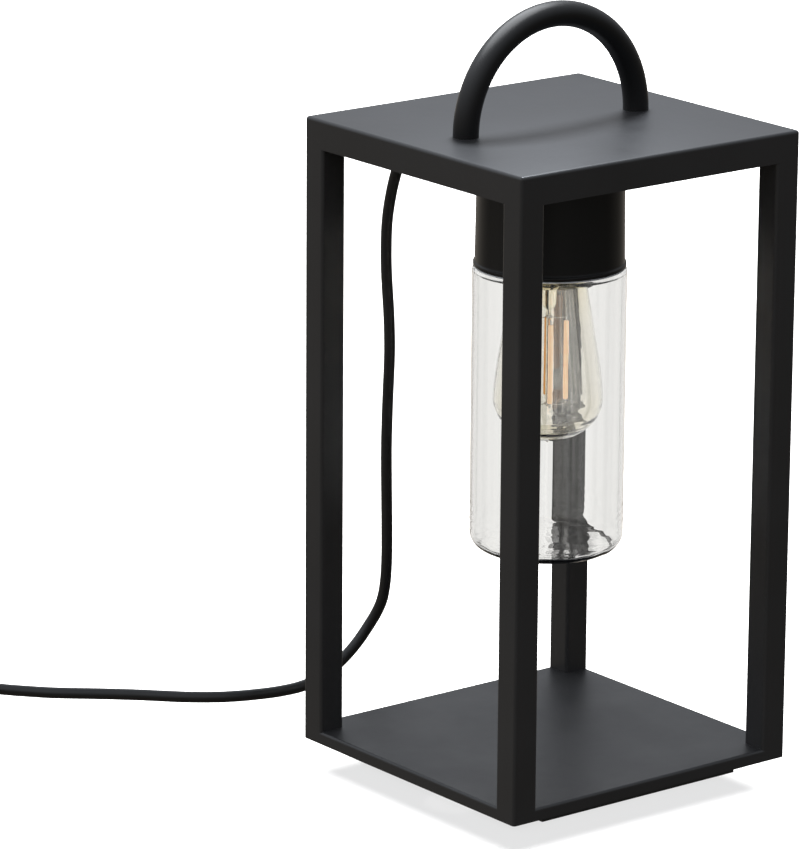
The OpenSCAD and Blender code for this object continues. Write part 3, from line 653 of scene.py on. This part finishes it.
def makeTie():
    # a soft strap round the coil's bundle, with its end lapped over
    inner = cordSize["coilRadius"] - coilLayer * coilTurn / 720 - cordSize["diameter"] / 2 - 1
    outer = cordSize["coilRadius"] + cordSize["diameter"] / 2 + 0.6
    low, high = 0.45, coilCentre.z + coilLayer + cordSize["diameter"] / 2 + 0.65
    middle = ((inner + outer) / 2, 0, (low + high) / 2)
    strap = block((outer - inner + 0.7, tieSize["width"], high - low), middle)
    pickFaces(strap, lambda centre, normal: abs(normal.y) > 0.9)
    bpy.ops.mesh.delete(type="FACE")
    pickEdges(strap, lambda a, b: abs(a.y - b.y) > 1)
    roundPicked(tieSize["corner"], 5)
    applyModifier(strap, "SOLIDIFY", thickness=tieSize["thickness"] * mm, offset=0)
    applyModifier(strap, "BEVEL", width=0.15 * mm, segments=2, limit_method="ANGLE",
                  angle_limit=math.radians(40))
    lap = softBlock((9, tieSize["width"], 0.5), ((inner + outer) / 2 + 2, 0, high + 0.4), 0.15, 2)
    strap = join([strap, lap])
    strap.rotation_euler.z = math.radians(coilStartAngle + 100)
    strap.location = (coilCentre.x * mm, coilCentre.y * mm, 0)
    return finishPiece(strap, "coilTie", blackPlastic, ("coil_tie",))


coilTie = makeTie()
print("plug and coil ready")


# frame

def foldedTray(low, height):
    tray = block((frameSize["width"], frameSize["depth"], height), (0, 0, low + height / 2))
    pickEdges(tray, lambda a, b: max(a.z, b.z) > low + 0.1)
    roundPicked(frameSize["edge"], 5)
    return tray


def openTray(tray, low, height):
    # a thin sheet shell with in-turned rims, open below between them
    sheet, rim = frameSize["sheet"], frameSize["post"]
    width, depth = frameSize["width"], frameSize["depth"]
    cut(tray, block((width - 2 * sheet, depth - 2 * sheet, height - 2 * sheet), (0, 0, low + height / 2)))
    cut(tray, block((width - 2 * rim, depth - 2 * rim, 4 * sheet), (0, 0, low)))


def makeTopTray():
    top, height = frameSize["top"], frameSize["tray"]
    tray = foldedTray(top - height, height)
    openTray(tray, top - height, height)
    for x in (-1, 1):
        cut(tray, rod(handleSize["screwHole"], top - 3, top + 1, (x * handleSize["span"] / 2, 0), 24))
    cordHole = rod(bushSize["hole"] + 0.1, -4, 4, sides=32)
    cordHole.rotation_euler.x = math.radians(90)
    cordHole.location = (0, halfDepth * mm, cordSize["exitHeight"] * mm)
    settle(cordHole)
    cut(tray, cordHole)
    return finishPiece(tray, "topTray", slatePaint, ("top_tray",), flat=True)


def makeBaseTray():
    low, height, post = frameSize["bottom"], frameSize["base"], frameSize["post"]
    tray = foldedTray(low, height)
    # the welded corners carry the posts on, square to the top
    for x, y in ((-1, -1), (1, -1), (-1, 1), (1, 1)):
        middle = (x * (halfWidth - post / 2), y * (halfDepth - post / 2), low + height / 2)
        pad = block((post, post, height), middle)
        pickEdges(pad, isUpright)
        roundPicked(frameSize["edge"], 5)
        fuse(tray, pad)
    openTray(tray, low, height)
    return finishPiece(tray, "baseTray", slatePaint, ("base_tray",), flat=True)


def makePosts():
    post = frameSize["post"]
    low = frameSize["bottom"] + frameSize["base"]
    high = frameSize["top"] - frameSize["tray"]
    across, deep = frameSize["width"] - post, frameSize["depth"] - post
    front = block((post, post, high - low), (-across / 2, -deep / 2, (low + high) / 2))
    pickEdges(front, isUpright)
    roundPicked(frameSize["edge"], 5)
    pickFaces(front, lambda centre, normal: abs(normal.z) > 0.9)
    bpy.ops.mesh.delete(type="FACE")
    bpy.ops.object.mode_set(mode="OBJECT")
    applyModifier(front, "SOLIDIFY", thickness=frameSize["sheet"] * mm, offset=-1)
    posts = {"Front": front}
    for name, move in (("Right", (across, 0, 0)), ("Left", (0, deep, 0)), ("Back", (across, deep, 0))):
        posts[name] = copyOf(front, move)
    for name, piece in posts.items():
        node = "post_" + name.lower()
        finishPiece(piece, "post" + name, slatePaint, (node,), flat=True)


footSize = {
    "length": 145,
    "width": 11,
    "thickness": 2.8,
    "inset": 2.5,
    "shift": -7,
}


def makeFeet():
    y = halfDepth - footSize["inset"] - footSize["width"] / 2
    strip = softBlock((footSize["length"], footSize["width"], footSize["thickness"]),
                      (footSize["shift"], -y, footSize["thickness"] / 2), 0.4)
    strips = join([strip, copyOf(strip, (0, 2 * y, 0))])
    return finishPiece(strips, "footStrips", blackRubber, ("foot_strips",))


handleSize = {
    "tube": 15,
    "wall": 1.5,
    "span": 126,
    "leg": 0.5,
    "screwHole": 2.6,
}


def makeHandle():
    deselect()
    x = handleSize["span"] / 2
    bpy.ops.mesh.primitive_circle_add(vertices=64, radius=handleSize["tube"] / 2 * mm,
                                      location=(x * mm, 0, frameSize["top"] * mm))
    handle = bpy.context.object
    settle(handle)
    bpy.ops.object.mode_set(mode="EDIT")
    bpy.ops.mesh.select_mode(type="EDGE")
    bpy.ops.mesh.select_all(action="SELECT")
    bpy.ops.mesh.extrude_region_move(TRANSFORM_OT_translate={"value": (0, 0, handleSize["leg"] * mm)})
    centre = (0, 0, (frameSize["top"] + handleSize["leg"]) * mm)
    bpy.ops.mesh.spin(steps=72, angle=math.pi, center=centre, axis=(0, 1, 0))
    bpy.ops.mesh.extrude_region_move(TRANSFORM_OT_translate={"value": (0, 0, -handleSize["leg"] * mm)})
    bpy.ops.mesh.select_all(action="SELECT")
    bpy.ops.mesh.remove_doubles(threshold=0.000001)
    bpy.ops.mesh.normals_make_consistent(inside=False)
    bpy.ops.object.mode_set(mode="OBJECT")
    applyModifier(handle, "SOLIDIFY", thickness=handleSize["wall"] * mm, offset=-1)
    return finishPiece(handle, "handle", handlePaint, ("handle_tube",))


topTray = makeTopTray()
makeBaseTray()
makePosts()
makeFeet()
handle = makeHandle()
print("frame ready")


# cup, seal and jar

cupSize = {
    "top": 361.6,
    "height": 64.5,
    "topRadius": 42.75,
    "bodyRadius": 43.5,
    "lipRadius": 44.4,
    "lipHeight": 3,
    "wall": 1.2,
    "round": 4,
}
cupLip = cupSize["top"] - cupSize["height"]


def cupSide(wall):
    rounding = cupSize["round"]
    corner = arc(cupSize["topRadius"] - rounding, cupSize["top"] - rounding, rounding - wall, 0, 90, 8)
    lipTop = cupLip + cupSize["lipHeight"]
    lip, body = cupSize["lipRadius"] - wall, cupSize["bodyRadius"] - wall
    step = curveThrough((lip, cupLip + 1.6), (lip, cupLip + 2.2),
                        (body, lipTop - 0.6), (body, lipTop + 0.6), 8)
    return [(lip, cupLip + 0.3), (lip, cupLip + 1.4)] + step + corner + [(0, cupSize["top"] - wall)]


def makeCup():
    outer = cupSide(0)
    inner = cupSide(cupSize["wall"])[::-1]
    lip = [(cupSize["lipRadius"] - cupSize["wall"] + 0.3, cupLip), (cupSize["lipRadius"] - 0.3, cupLip)]
    cup = turned(outer + inner + lip, 128)
    return finishPiece(cup, "lampCup", cupPaint, ("lamp_cup",))


makeCup()

jarSize = {
    "top": 295.9,
    "height": 171,
    "radius": 45,
    "wall": 2,
    "floor": 3,
    "corner": 10,
    "sag": 2,
    "shoulder": 2,
    "shoulderWall": 1.6,
    "innerCorner": 5.5,
    "floorRipple": 0.16,
    "wallRipple": 0.04,
    "neckRadius": 41,
    "neckWall": 2.5,
    "neckHeight": 13,
    "thread": 0.8,
    "threadPitch": 4.5,
}


def jarBowl(radius, corner, low):
    sag = jarSize["sag"]
    flat = radius - corner
    return ([(flat * i / 14, low + sag * (i / 14) ** 2) for i in range(14)]
            + arc(flat, low + sag + corner, corner, -90, 0, 18))


def rippleFloor(jar, low):
    # the pressed floor is wavy inside
    bore = jarSize["radius"] - jarSize["wall"] + 0.1
    for vertex in jar.data.vertices:
        x, y, z = vertex.co / mm
        if low + jarSize["floor"] - 0.1 < z < low + 12 and math.hypot(x, y) < bore:
            rings = 0.6 * math.sin(0.8 * math.hypot(x + 12, y - 7))
            wave = math.sin(0.42 * x + 0.9) * math.sin(0.35 * y - 0.4) + rings
            vertex.co.z += jarSize["floorRipple"] * wave * mm


def makeJar():
    top, wall, shoulder = jarSize["top"], jarSize["wall"], jarSize["shoulder"]
    low = top - jarSize["height"]
    radius, neck = jarSize["radius"], jarSize["neckRadius"]
    bore = neck - jarSize["neckWall"]
    neckTop = top + jarSize["neckHeight"]
    outer = jarBowl(radius, jarSize["corner"], low)
    outer += [(radius, low + 20 + 12 * i) for i in range(12)]
    outer += arc(radius - shoulder, top - shoulder, shoulder, 0, 90, 8)
    outer += arc(neck + 0.5, top + 0.5, 0.5, -90, -180, 4)
    rings = 26
    outer += [(neck, top + 1 + (neckTop - top - 2) * i / rings) for i in range(rings + 1)]
    outer += arc(neck - 0.8, neckTop - 0.8, 0.8, 0, 90, 4)
    inner = jarBowl(radius - wall, jarSize["innerCorner"], low + jarSize["floor"])
    inner += [(radius - wall - jarSize["wallRipple"] * (1 + math.sin(1.9 * i)), low + 13 + 1.4 * i)
              for i in range(14)]
    inner += [(radius - wall, low + 34 + 12 * i) for i in range(11)]
    innerTop = top - jarSize["shoulderWall"]
    inner += arc(radius - wall - shoulder, innerTop - shoulder, shoulder, 0, 90, 8)
    inner += arc(bore + 1, innerTop + 1, 1, -90, -180, 4)
    inner += arc(bore + 0.8, neckTop - 0.8, 0.8, 180, 90, 4)
    jar = turned(outer + inner[::-1], 144)
    windThread(jar, top + 2, neckTop - 2, jarSize["threadPitch"], -jarSize["thread"], neck - 0.5, neck + 0.5)
    rippleFloor(jar, low)
    return finishPiece(jar, "glassJar", jarGlass, ("glass_jar",), body="jar", angle=50)


makeJar()


def makeSeal():
    low, high = jarSize["top"] + 0.2, jarSize["top"] + 1
    inner, outer = jarSize["neckRadius"] + 0.3, cupSize["lipRadius"] - 0.4
    ring = turned(arc(outer - 0.3, (low + high) / 2, 0.4, -80, 80, 5) + [(inner, high), (inner, low)], 96)
    return finishPiece(ring, "sealRing", clearRubber, ("seal_ring",), body="seal")


makeSeal()
print("cup and jar ready")


# lampholder

holderSize = {
    "mouth": 303.9,
    "top": 360.4,
    "radius": 19,
    "wall": 2,
    "split": 337.8,
    "taper": 9.04,
    "shellRadius": 13.55,
    "shellWall": 0.5,
    "shellTop": 332.8,
    "shellThread": 0.3,
    "threadPitch": 3.63,
    "threadDepth": 0.9,
}


def makeHolder():
    radius, wall, mouth = holderSize["radius"], holderSize["wall"], holderSize["mouth"]
    split, top, taper = holderSize["split"], holderSize["top"], holderSize["taper"]
    inside, shell = radius - wall, holderSize["shellRadius"]
    skirt = [(shell + 1, mouth + 0.3), (shell + 1.3, mouth), (radius, mouth)]
    skirt += arc(radius, mouth + 1, 1, -90, 0, 4) + [(radius + 1, mouth + 4), (radius, mouth + 6)]
    # shallow grip rings above the lip
    for i in range(5):
        z = mouth + 8 + i * 4.5
        skirt += [(radius, z), (radius - 0.5, z + 0.4), (radius - 0.5, z + 1.1), (radius, z + 1.5)]
    skirt += [(radius, split - 0.3), (radius - 0.3, split), (inside, split), (inside, mouth + wall),
              (shell + 1, mouth + wall)]
    finishPiece(turned(skirt, 96), "holderSkirt", blackPlastic, ("holder_skirt",))
    cap = [(radius - 0.3, split + 0.05), (radius, split + 0.35), (radius, top - taper)]
    cap += [(radius - 2.5, top - 0.45 * taper), (radius - 7, top), (5.1, top), (5.1, top - wall),
            (radius - 7 - wall, top - wall), (radius - 2.5 - wall, top - 0.45 * taper - 1.6),
            (inside, top - taper - 1.2), (inside, split + 0.05)]
    finishPiece(turned(cap, 96), "holderCap", blackPlastic, ("holder_cap",))
    shellLow, shellTop, edge = mouth + 2.5, holderSize["shellTop"], holderSize["shellWall"]
    rings = 64
    wallRings = [shellLow + (shellTop - 0.6 - shellLow) * i / rings for i in range(rings + 1)]
    outline = [(shell + edge, z) for z in wallRings]
    outline += [(shell + edge - 0.1, shellTop), (shell - 2, shellTop), (shell - 2, shellTop - edge)]
    outline += [(shell, z) for z in wallRings[::-1]]
    screwShell = turned(outline, 64)
    windThread(screwShell, shellLow + 0.5, shellTop - 2, holderSize["threadPitch"],
               holderSize["shellThread"], shell - 1, shell + 1)
    finishPiece(screwShell, "holderShell", brass, ("holder_shell",), angle=50)


makeHolder()
print("lampholder ready")


# bulb

bulbSize = {
    "tip": 190.3,
    "length": 140,
    "diameter": 64,
    "belly": 27,
    "shoulderRadius": 22.5,
    "shoulderHeight": 21,
    "glass": 0.9,
    "unevenness": 0.16,
    "throatGap": 0.8,
    "capRadius": 13.2,
    "capHeight": 26.4,
    "filamentRing": 20.5,
    "filamentLength": 52,
    "filamentLow": 23.5,
    "filamentWidth": 2.9,
    "filamentTurn": 57,
}
glassLength = bulbSize["length"] - bulbSize["capHeight"]


def bulbSide(wall):
    belly, waist = bulbSize["diameter"] / 2 - wall, bulbSize["shoulderRadius"] - wall
    neck = bulbSize["capRadius"] - wall
    bellyHigh, shoulder = bulbSize["belly"], glassLength - bulbSize["shoulderHeight"]
    bowl = []
    for angle in range(4, 90, 2):
        step = wall
        if wall:
            # inside, the blown end is uneven
            fade = min(1, angle / 12, (90 - angle) / 40)
            step += bulbSize["unevenness"] * math.sin(0.33 * angle) * fade
        bowl.append(((bulbSize["diameter"] / 2 - step) * math.sin(math.radians(angle)),
                     bellyHigh - (bellyHigh - 2 - step) * math.cos(math.radians(angle))))
    taper = curveThrough((belly, bellyHigh), (belly, bellyHigh + 15), (waist + 2, shoulder - 15),
                         (waist, shoulder), 24)
    throat = curveThrough((waist, shoulder), (waist - 1.2, shoulder + 9), (neck + 1.2, glassLength - 9),
                          (neck, glassLength - 0.5), 16)
    return bowl + taper + throat[1:]


def lift(outline, by):
    return [(radius, height + by) for radius, height in outline]


def makeEnvelope():
    throat = bulbSize["capRadius"] - bulbSize["throatGap"]
    pip = curveThrough((0, 0), (1.3, 0.1), (0.9, 1.4), (2.2, 2.06), 8)
    outer = pip + bulbSide(0) + [(throat, glassLength - 0.4), (throat, glassLength + 6)]
    inner = [(0, 2 + bulbSize["glass"])] + bulbSide(bulbSize["glass"])
    inner += [(throat - bulbSize["glass"], glassLength + 6)]
    glass = turned(lift(outer + inner[::-1], bulbSize["tip"]), 128)
    return finishPiece(glass, "bulbGlass", bulbGlass, ("bulb_envelope",), body="bulb",
                       angle=50)


def makeScrewCap():
    radius, height = bulbSize["capRadius"], bulbSize["capHeight"]
    low = bulbSize["tip"] + glassLength
    rings = 70
    wall = [0.4 + (height - 6.6) * i / rings for i in range(rings + 1)]
    outer = [(radius - 0.1, 0)] + [(radius, z) for z in wall]
    outer += curveThrough((radius, height - 6), (radius, height - 4.6), (radius - 2.5, height - 5),
                          (radius - 4.2, height - 4.4), 6)
    inner = [(radius - 4.8, height - 4.9), (radius - 0.5, height - 6.4)]
    inner += [(radius - 0.5, z) for z in wall[::-1]] + [(radius - 0.5, 0)]
    cap = turned(lift(outer + inner, low), 96)
    windThread(cap, low + 2.6, low + height - 6.2, holderSize["threadPitch"], holderSize["threadDepth"],
               radius - 0.7, radius + 0.2)
    finishPiece(cap, "screwCap", aluminium, ("bulb_cap",), body="bulb", angle=50)
    contact = low + height
    insulator = [(0, -4.9), (radius - 4.85, -4.85), (radius - 4.25, -4.35), (7, -3.0), (5, -1.2), (0, -1.2)]
    finishPiece(turned(lift(insulator, contact), 64), "capInsulator", blackPlastic, ("bulb_insulator",),
                body="bulb")
    solder = [(0, -1.2), (4.6, -1.2), (4.5, -0.8), (4.0, -0.55)]
    solder += curveThrough((2.6, -0.5), (2.4, -0.1), (1.4, 0), (0, 0), 6)
    finishPiece(turned(lift(solder, contact), 48), "endContact", aluminium, ("bulb_contact",), body="bulb")


def makeStem():
    seat = bulbSize["capRadius"] - bulbSize["throatGap"] - bulbSize["glass"] - 0.1
    press = 0.7 * glassLength
    low = bulbSize["filamentLow"]
    outer = arc(0, low - 0.5, 1.5, -90, 0, 5) + [(1.5, press)]
    outer += curveThrough((1.5, press + 0.5), (4.5, press + 2), (4, press + 4), (4.2, press + 8), 8)
    outer += curveThrough((4.3, press + 9), (4.6, glassLength - 14), (5.5, glassLength - 6),
                          (seat, glassLength + 3), 10)
    outer += [(seat, glassLength + 5), (seat - 1, glassLength + 5)]
    inner = curveThrough((2.5, glassLength - 22), (3.5, glassLength - 12), (4.5, glassLength - 5),
                         (seat - 1, glassLength + 3), 10)[::-1]
    stem = turned(lift(outer + inner + [(0, glassLength - 22)], bulbSize["tip"]), 48, closed=False)
    return finishPiece(stem, "bulbStem", stemGlass, ("bulb_stem",), body="bulb", angle=50)


def makeFilaments():
    low = bulbSize["tip"] + bulbSize["filamentLow"]
    high = low + bulbSize["filamentLength"]
    ring, turn = bulbSize["filamentRing"] / 2, math.radians(bulbSize["filamentTurn"])
    x, y = ring * math.cos(turn), ring * math.sin(turn)
    coat = rod(bulbSize["filamentWidth"] / 2, low + 2.5, high - 2.5, (x, y), 16, edge=0.6)
    finishPiece(roundTheAxis(coat, 4), "filaments", phosphorPaintedGlow, ("filaments",), body="bulb")
    # a tab and a wire at each end of a strip, and a collar round the glass rod
    ends, collars = [], []
    for z, middle in ((low, low + 2.25), (high, high - 2.25)):
        tab = block((0.5, 1.3, 4.5), (0, 0, middle))
        tab.rotation_euler.z = turn
        tab.location = (x * mm, y * mm, 0)
        settle(tab)
        path = curveThrough((1.4 * math.cos(turn), 1.4 * math.sin(turn), z), (x * 0.4, y * 0.4, z - 1.2),
                            (x * 0.8, y * 0.8, z - 0.8), (x, y, z), 8)
        ends += [tab, madeMesh(strand(path, 0.55, fineness=2))]
        collars.append(turned([(1.5, z - 0.5), (1.95, z - 0.5), (1.95, z + 0.5), (1.5, z + 0.5)], 24))
    wires = join([roundTheAxis(join(ends), 4)] + collars)
    finishPiece(wires, "filamentWires", steelWire, ("filament_wires",), body="bulb")


makeEnvelope()
makeScrewCap()
makeStem()
makeFilaments()
print("bulb ready")


# pieces that keep their solid and get a finish

keptFinishes = {
    slatePaint: ["tray_cover"],
    cupPaint: ["cover_screws"],
    zinc: ["post_plugs", "post_screws", "handle_plugs", "handle_washers", "handle_screws", "cup_screws",
           "holder_nipple", "nipple_nut", "clamp_screws"],
    ceramic: ["holder_insert"],
    brass: ["holder_contact", "holder_terminals", "terminal_barrels"],
    whitePlastic: ["terminal_block", "cord_clamp"],
    brownSleeve: ["inner_leads", "cord_cores"],
    cordSheath: ["inner_cord"],
}
for finish, names in keptFinishes.items():
    for name in names:
        nodes[name].data.materials.clear()
        nodes[name].data.materials.append(finish)


# floor and light

studio = {
    "floorGlow": 0.73,
    "floorTone": 0.06,
    # brightness of the room by height: straight down is -1, the horizon 0, straight up 1
    "room": [(-1, (0.10, 0.092, 0.08)), (-0.03, (0.148, 0.134, 0.116)), (0.04, (0.24, 0.24, 0.24)),
             (0.3, (0.41, 0.425, 0.45)), (0.6, (0.67, 0.70, 0.75)), (1, (0.46, 0.48, 0.53))],
    "roomStrength": 1.5,
    # brighter on the far left than on the near right
    "leftWay": (-0.625, 0.78, 0),
    "farLeft": 1.35,
    "nearRight": 0.55,
    "whiteBehind": 3.8,
    # a wide sun behind the lamp, strong enough to leave the floor white round one pale, crisp shadow
    "sunPower": 100,
    "sunSize": 5.3,
    # the way its light leans, and by how many degrees
    "sunLean": (-0.66, -0.75, 8.0),
    # a round lamp above and behind the handle, near enough to fall off across the tray
    "trayLamp": {"power": 2.5, "size": 110, "place": (93, 93, 735), "colour": (0.86, 0.92, 1.0)},
    # a softer one over the left of the handle
    "handleLamp": {"power": 12.5, "size": 800, "place": (10, 150, 1000), "colour": (0.94, 0.97, 1.0)},
    # brightness that the glass reflects, from behind the camera's left (-1) to ahead on its right (1)
    "reflectionsWay": (0.77, 0.638, 0),
    "reflections": [(-1, 1.1), (-0.5, 1.1), (-0.2, 0.95), (0.1, 0.55), (0.35, 0.55), (0.6, 1), (1, 1)],
    "bands": (0.35, 1.65),
    "bandSize": 9,
}


def makeFloor():
    deselect()
    bpy.ops.mesh.primitive_plane_add(size=40)
    floor = bpy.context.object
    floor.name = "floor"
    material, shader, tree = newFinish("paleFloor", Base_Color=(studio["floorTone"],) * 3, Roughness=1.0,
                                       Specular_IOR_Level=0.0, Emission_Color=(1.0, 1.0, 1.0),
                                       Emission_Strength=studio["floorGlow"])
    floor.data.materials.append(material)
    floor.visible_diffuse = False
    floor.visible_glossy = False
    floor.visible_transmission = False
    return floor


def gathered(name, pieces):
    group = bpy.data.collections.new(name)
    for piece in pieces:
        group.objects.link(piece)
    return group


def makeSun():
    deselect()
    bpy.ops.object.light_add(type="SUN")
    sun = bpy.context.object
    sun.name = "sun"
    sun.data.energy = studio["sunPower"]
    sun.data.angle = math.radians(studio["sunSize"])
    x, y, lean = studio["sunLean"]
    lean = math.radians(lean)
    aim = Vector((x * math.sin(lean), y * math.sin(lean), -math.cos(lean)))
    sun.rotation_euler = aim.to_track_quat("-Z", "Y").to_euler()
    # it lights the floor alone, and only the tray throws a shadow in it
    sun.light_linking.receiver_collection = gathered("sunReaches", [floor])
    sun.light_linking.blocker_collection = gathered("sunBlockedBy", [topTray])


def makeLamp(name, piece):
    # a round lamp that reaches one piece only
    values = studio[name]
    deselect()
    place = Vector(values["place"]) * mm
    bpy.ops.object.light_add(type="AREA", location=place)
    lamp = bpy.context.object
    lamp.name = name
    lamp.data.shape = "DISK"
    lamp.data.size = values["size"] * mm
    lamp.data.energy = values["power"]
    lamp.data.color = values["colour"]
    lamp.visible_camera = False
    lamp.rotation_euler = (Vector((0, 0, frameSize["top"] * mm)) - place).to_track_quat("-Z", "Y").to_euler()
    lamp.light_linking.receiver_collection = gathered(name + "Reaches", [piece])


def makeRoom():
    world = bpy.data.worlds.new("room")
    bpy.context.scene.world = world
    world.use_nodes = True
    tree = world.node_tree
    add, link = tree.nodes.new, tree.links.new
    tree.nodes.clear()
    way = add("ShaderNodeTexCoord").outputs["Generated"]
    split = add("ShaderNodeSeparateXYZ")
    link(way, split.inputs["Vector"])
    height = split.outputs["Z"]
    lit, white, room = add("ShaderNodeBackground"), add("ShaderNodeBackground"), add("ShaderNodeMixShader")
    flatten = add("ShaderNodeVectorMath")
    flatten.operation = "MULTIPLY"
    flatten.inputs[1].default_value = (1, 1, 0)
    link(way, flatten.inputs[0])
    level = flatten.outputs["Vector"]
    ahead = pointingTo(tree, level, awayFromCamera)

    # what paint and metal see: a room that changes with height and from side to side
    stops = [((tall + 1) / 2, tone) for tall, tone in studio["room"]]
    link(rampOf(tree, spread(tree, height, 0, 1, -1, 1), stops), lit.inputs["Color"])
    gain = studio["roomStrength"]
    strength = spread(tree, pointingTo(tree, way, studio["leftWay"]), gain * studio["nearRight"],
                      gain * studio["farLeft"], -1, 1)
    # the white ground behind the lamp shows in its outermost edges
    behind = calculate(tree, "MULTIPLY", spread(tree, ahead, 0, 1, 0.72, 0.9),
                       spread(tree, height, 1, 0, -0.04, 0.02))
    link(calculate(tree, "MULTIPLY_ADD", behind, studio["whiteBehind"], strength), lit.inputs["Strength"])

    # what the glass reflects: brighter and darker ways, with soft strips on the camera's side
    most = max(tone for side, tone in studio["reflections"])
    stops = [((side + 1) / 2, (tone / most,) * 3) for side, tone in studio["reflections"]]
    around = rampOf(tree, spread(tree, pointingTo(tree, level, studio["reflectionsWay"]), 0, 1, -1, 1), stops)
    strips = add("ShaderNodeTexNoise")
    strips.inputs["Scale"].default_value = studio["bandSize"]
    strips.inputs["Detail"].default_value = 3
    link(level, strips.inputs["Vector"])
    low, high = studio["bands"]
    band = spread(tree, strips.outputs["Fac"], low * most, high * most, 0.35, 0.65)
    inFront = spread(tree, ahead, 1, 0, -0.3, 0.5)
    banding = calculate(tree, "MULTIPLY_ADD", inFront, calculate(tree, "SUBTRACT", band, most), most)
    reflected = calculate(tree, "MULTIPLY", around, banding)

    # straight on or through the glass it is plain white
    rays = add("ShaderNodeLightPath")
    bounced = calculate(tree, "GREATER_THAN", rays.outputs["Glossy Depth"], 0.5)
    whiteness = calculate(tree, "MULTIPLY_ADD", bounced, calculate(tree, "SUBTRACT", reflected, 1.0), 1.0)
    white.inputs["Color"].default_value = (1, 1, 1, 1)
    link(whiteness, white.inputs["Strength"])
    seen = calculate(tree, "MAXIMUM", rays.outputs["Is Camera Ray"], rays.outputs["Is Transmission Ray"])
    link(seen, room.inputs["Fac"])
    link(lit.outputs[0], room.inputs[1])
    link(white.outputs[0], room.inputs[2])
    link(room.outputs[0], add("ShaderNodeOutputWorld").inputs["Surface"])
    bpy.context.scene.view_settings.view_transform = "Standard"


floor = makeFloor()
makeSun()
makeLamp("trayLamp", topTray)
makeLamp("handleLamp", handle)
makeRoom()
deselect()

print("scene ready")
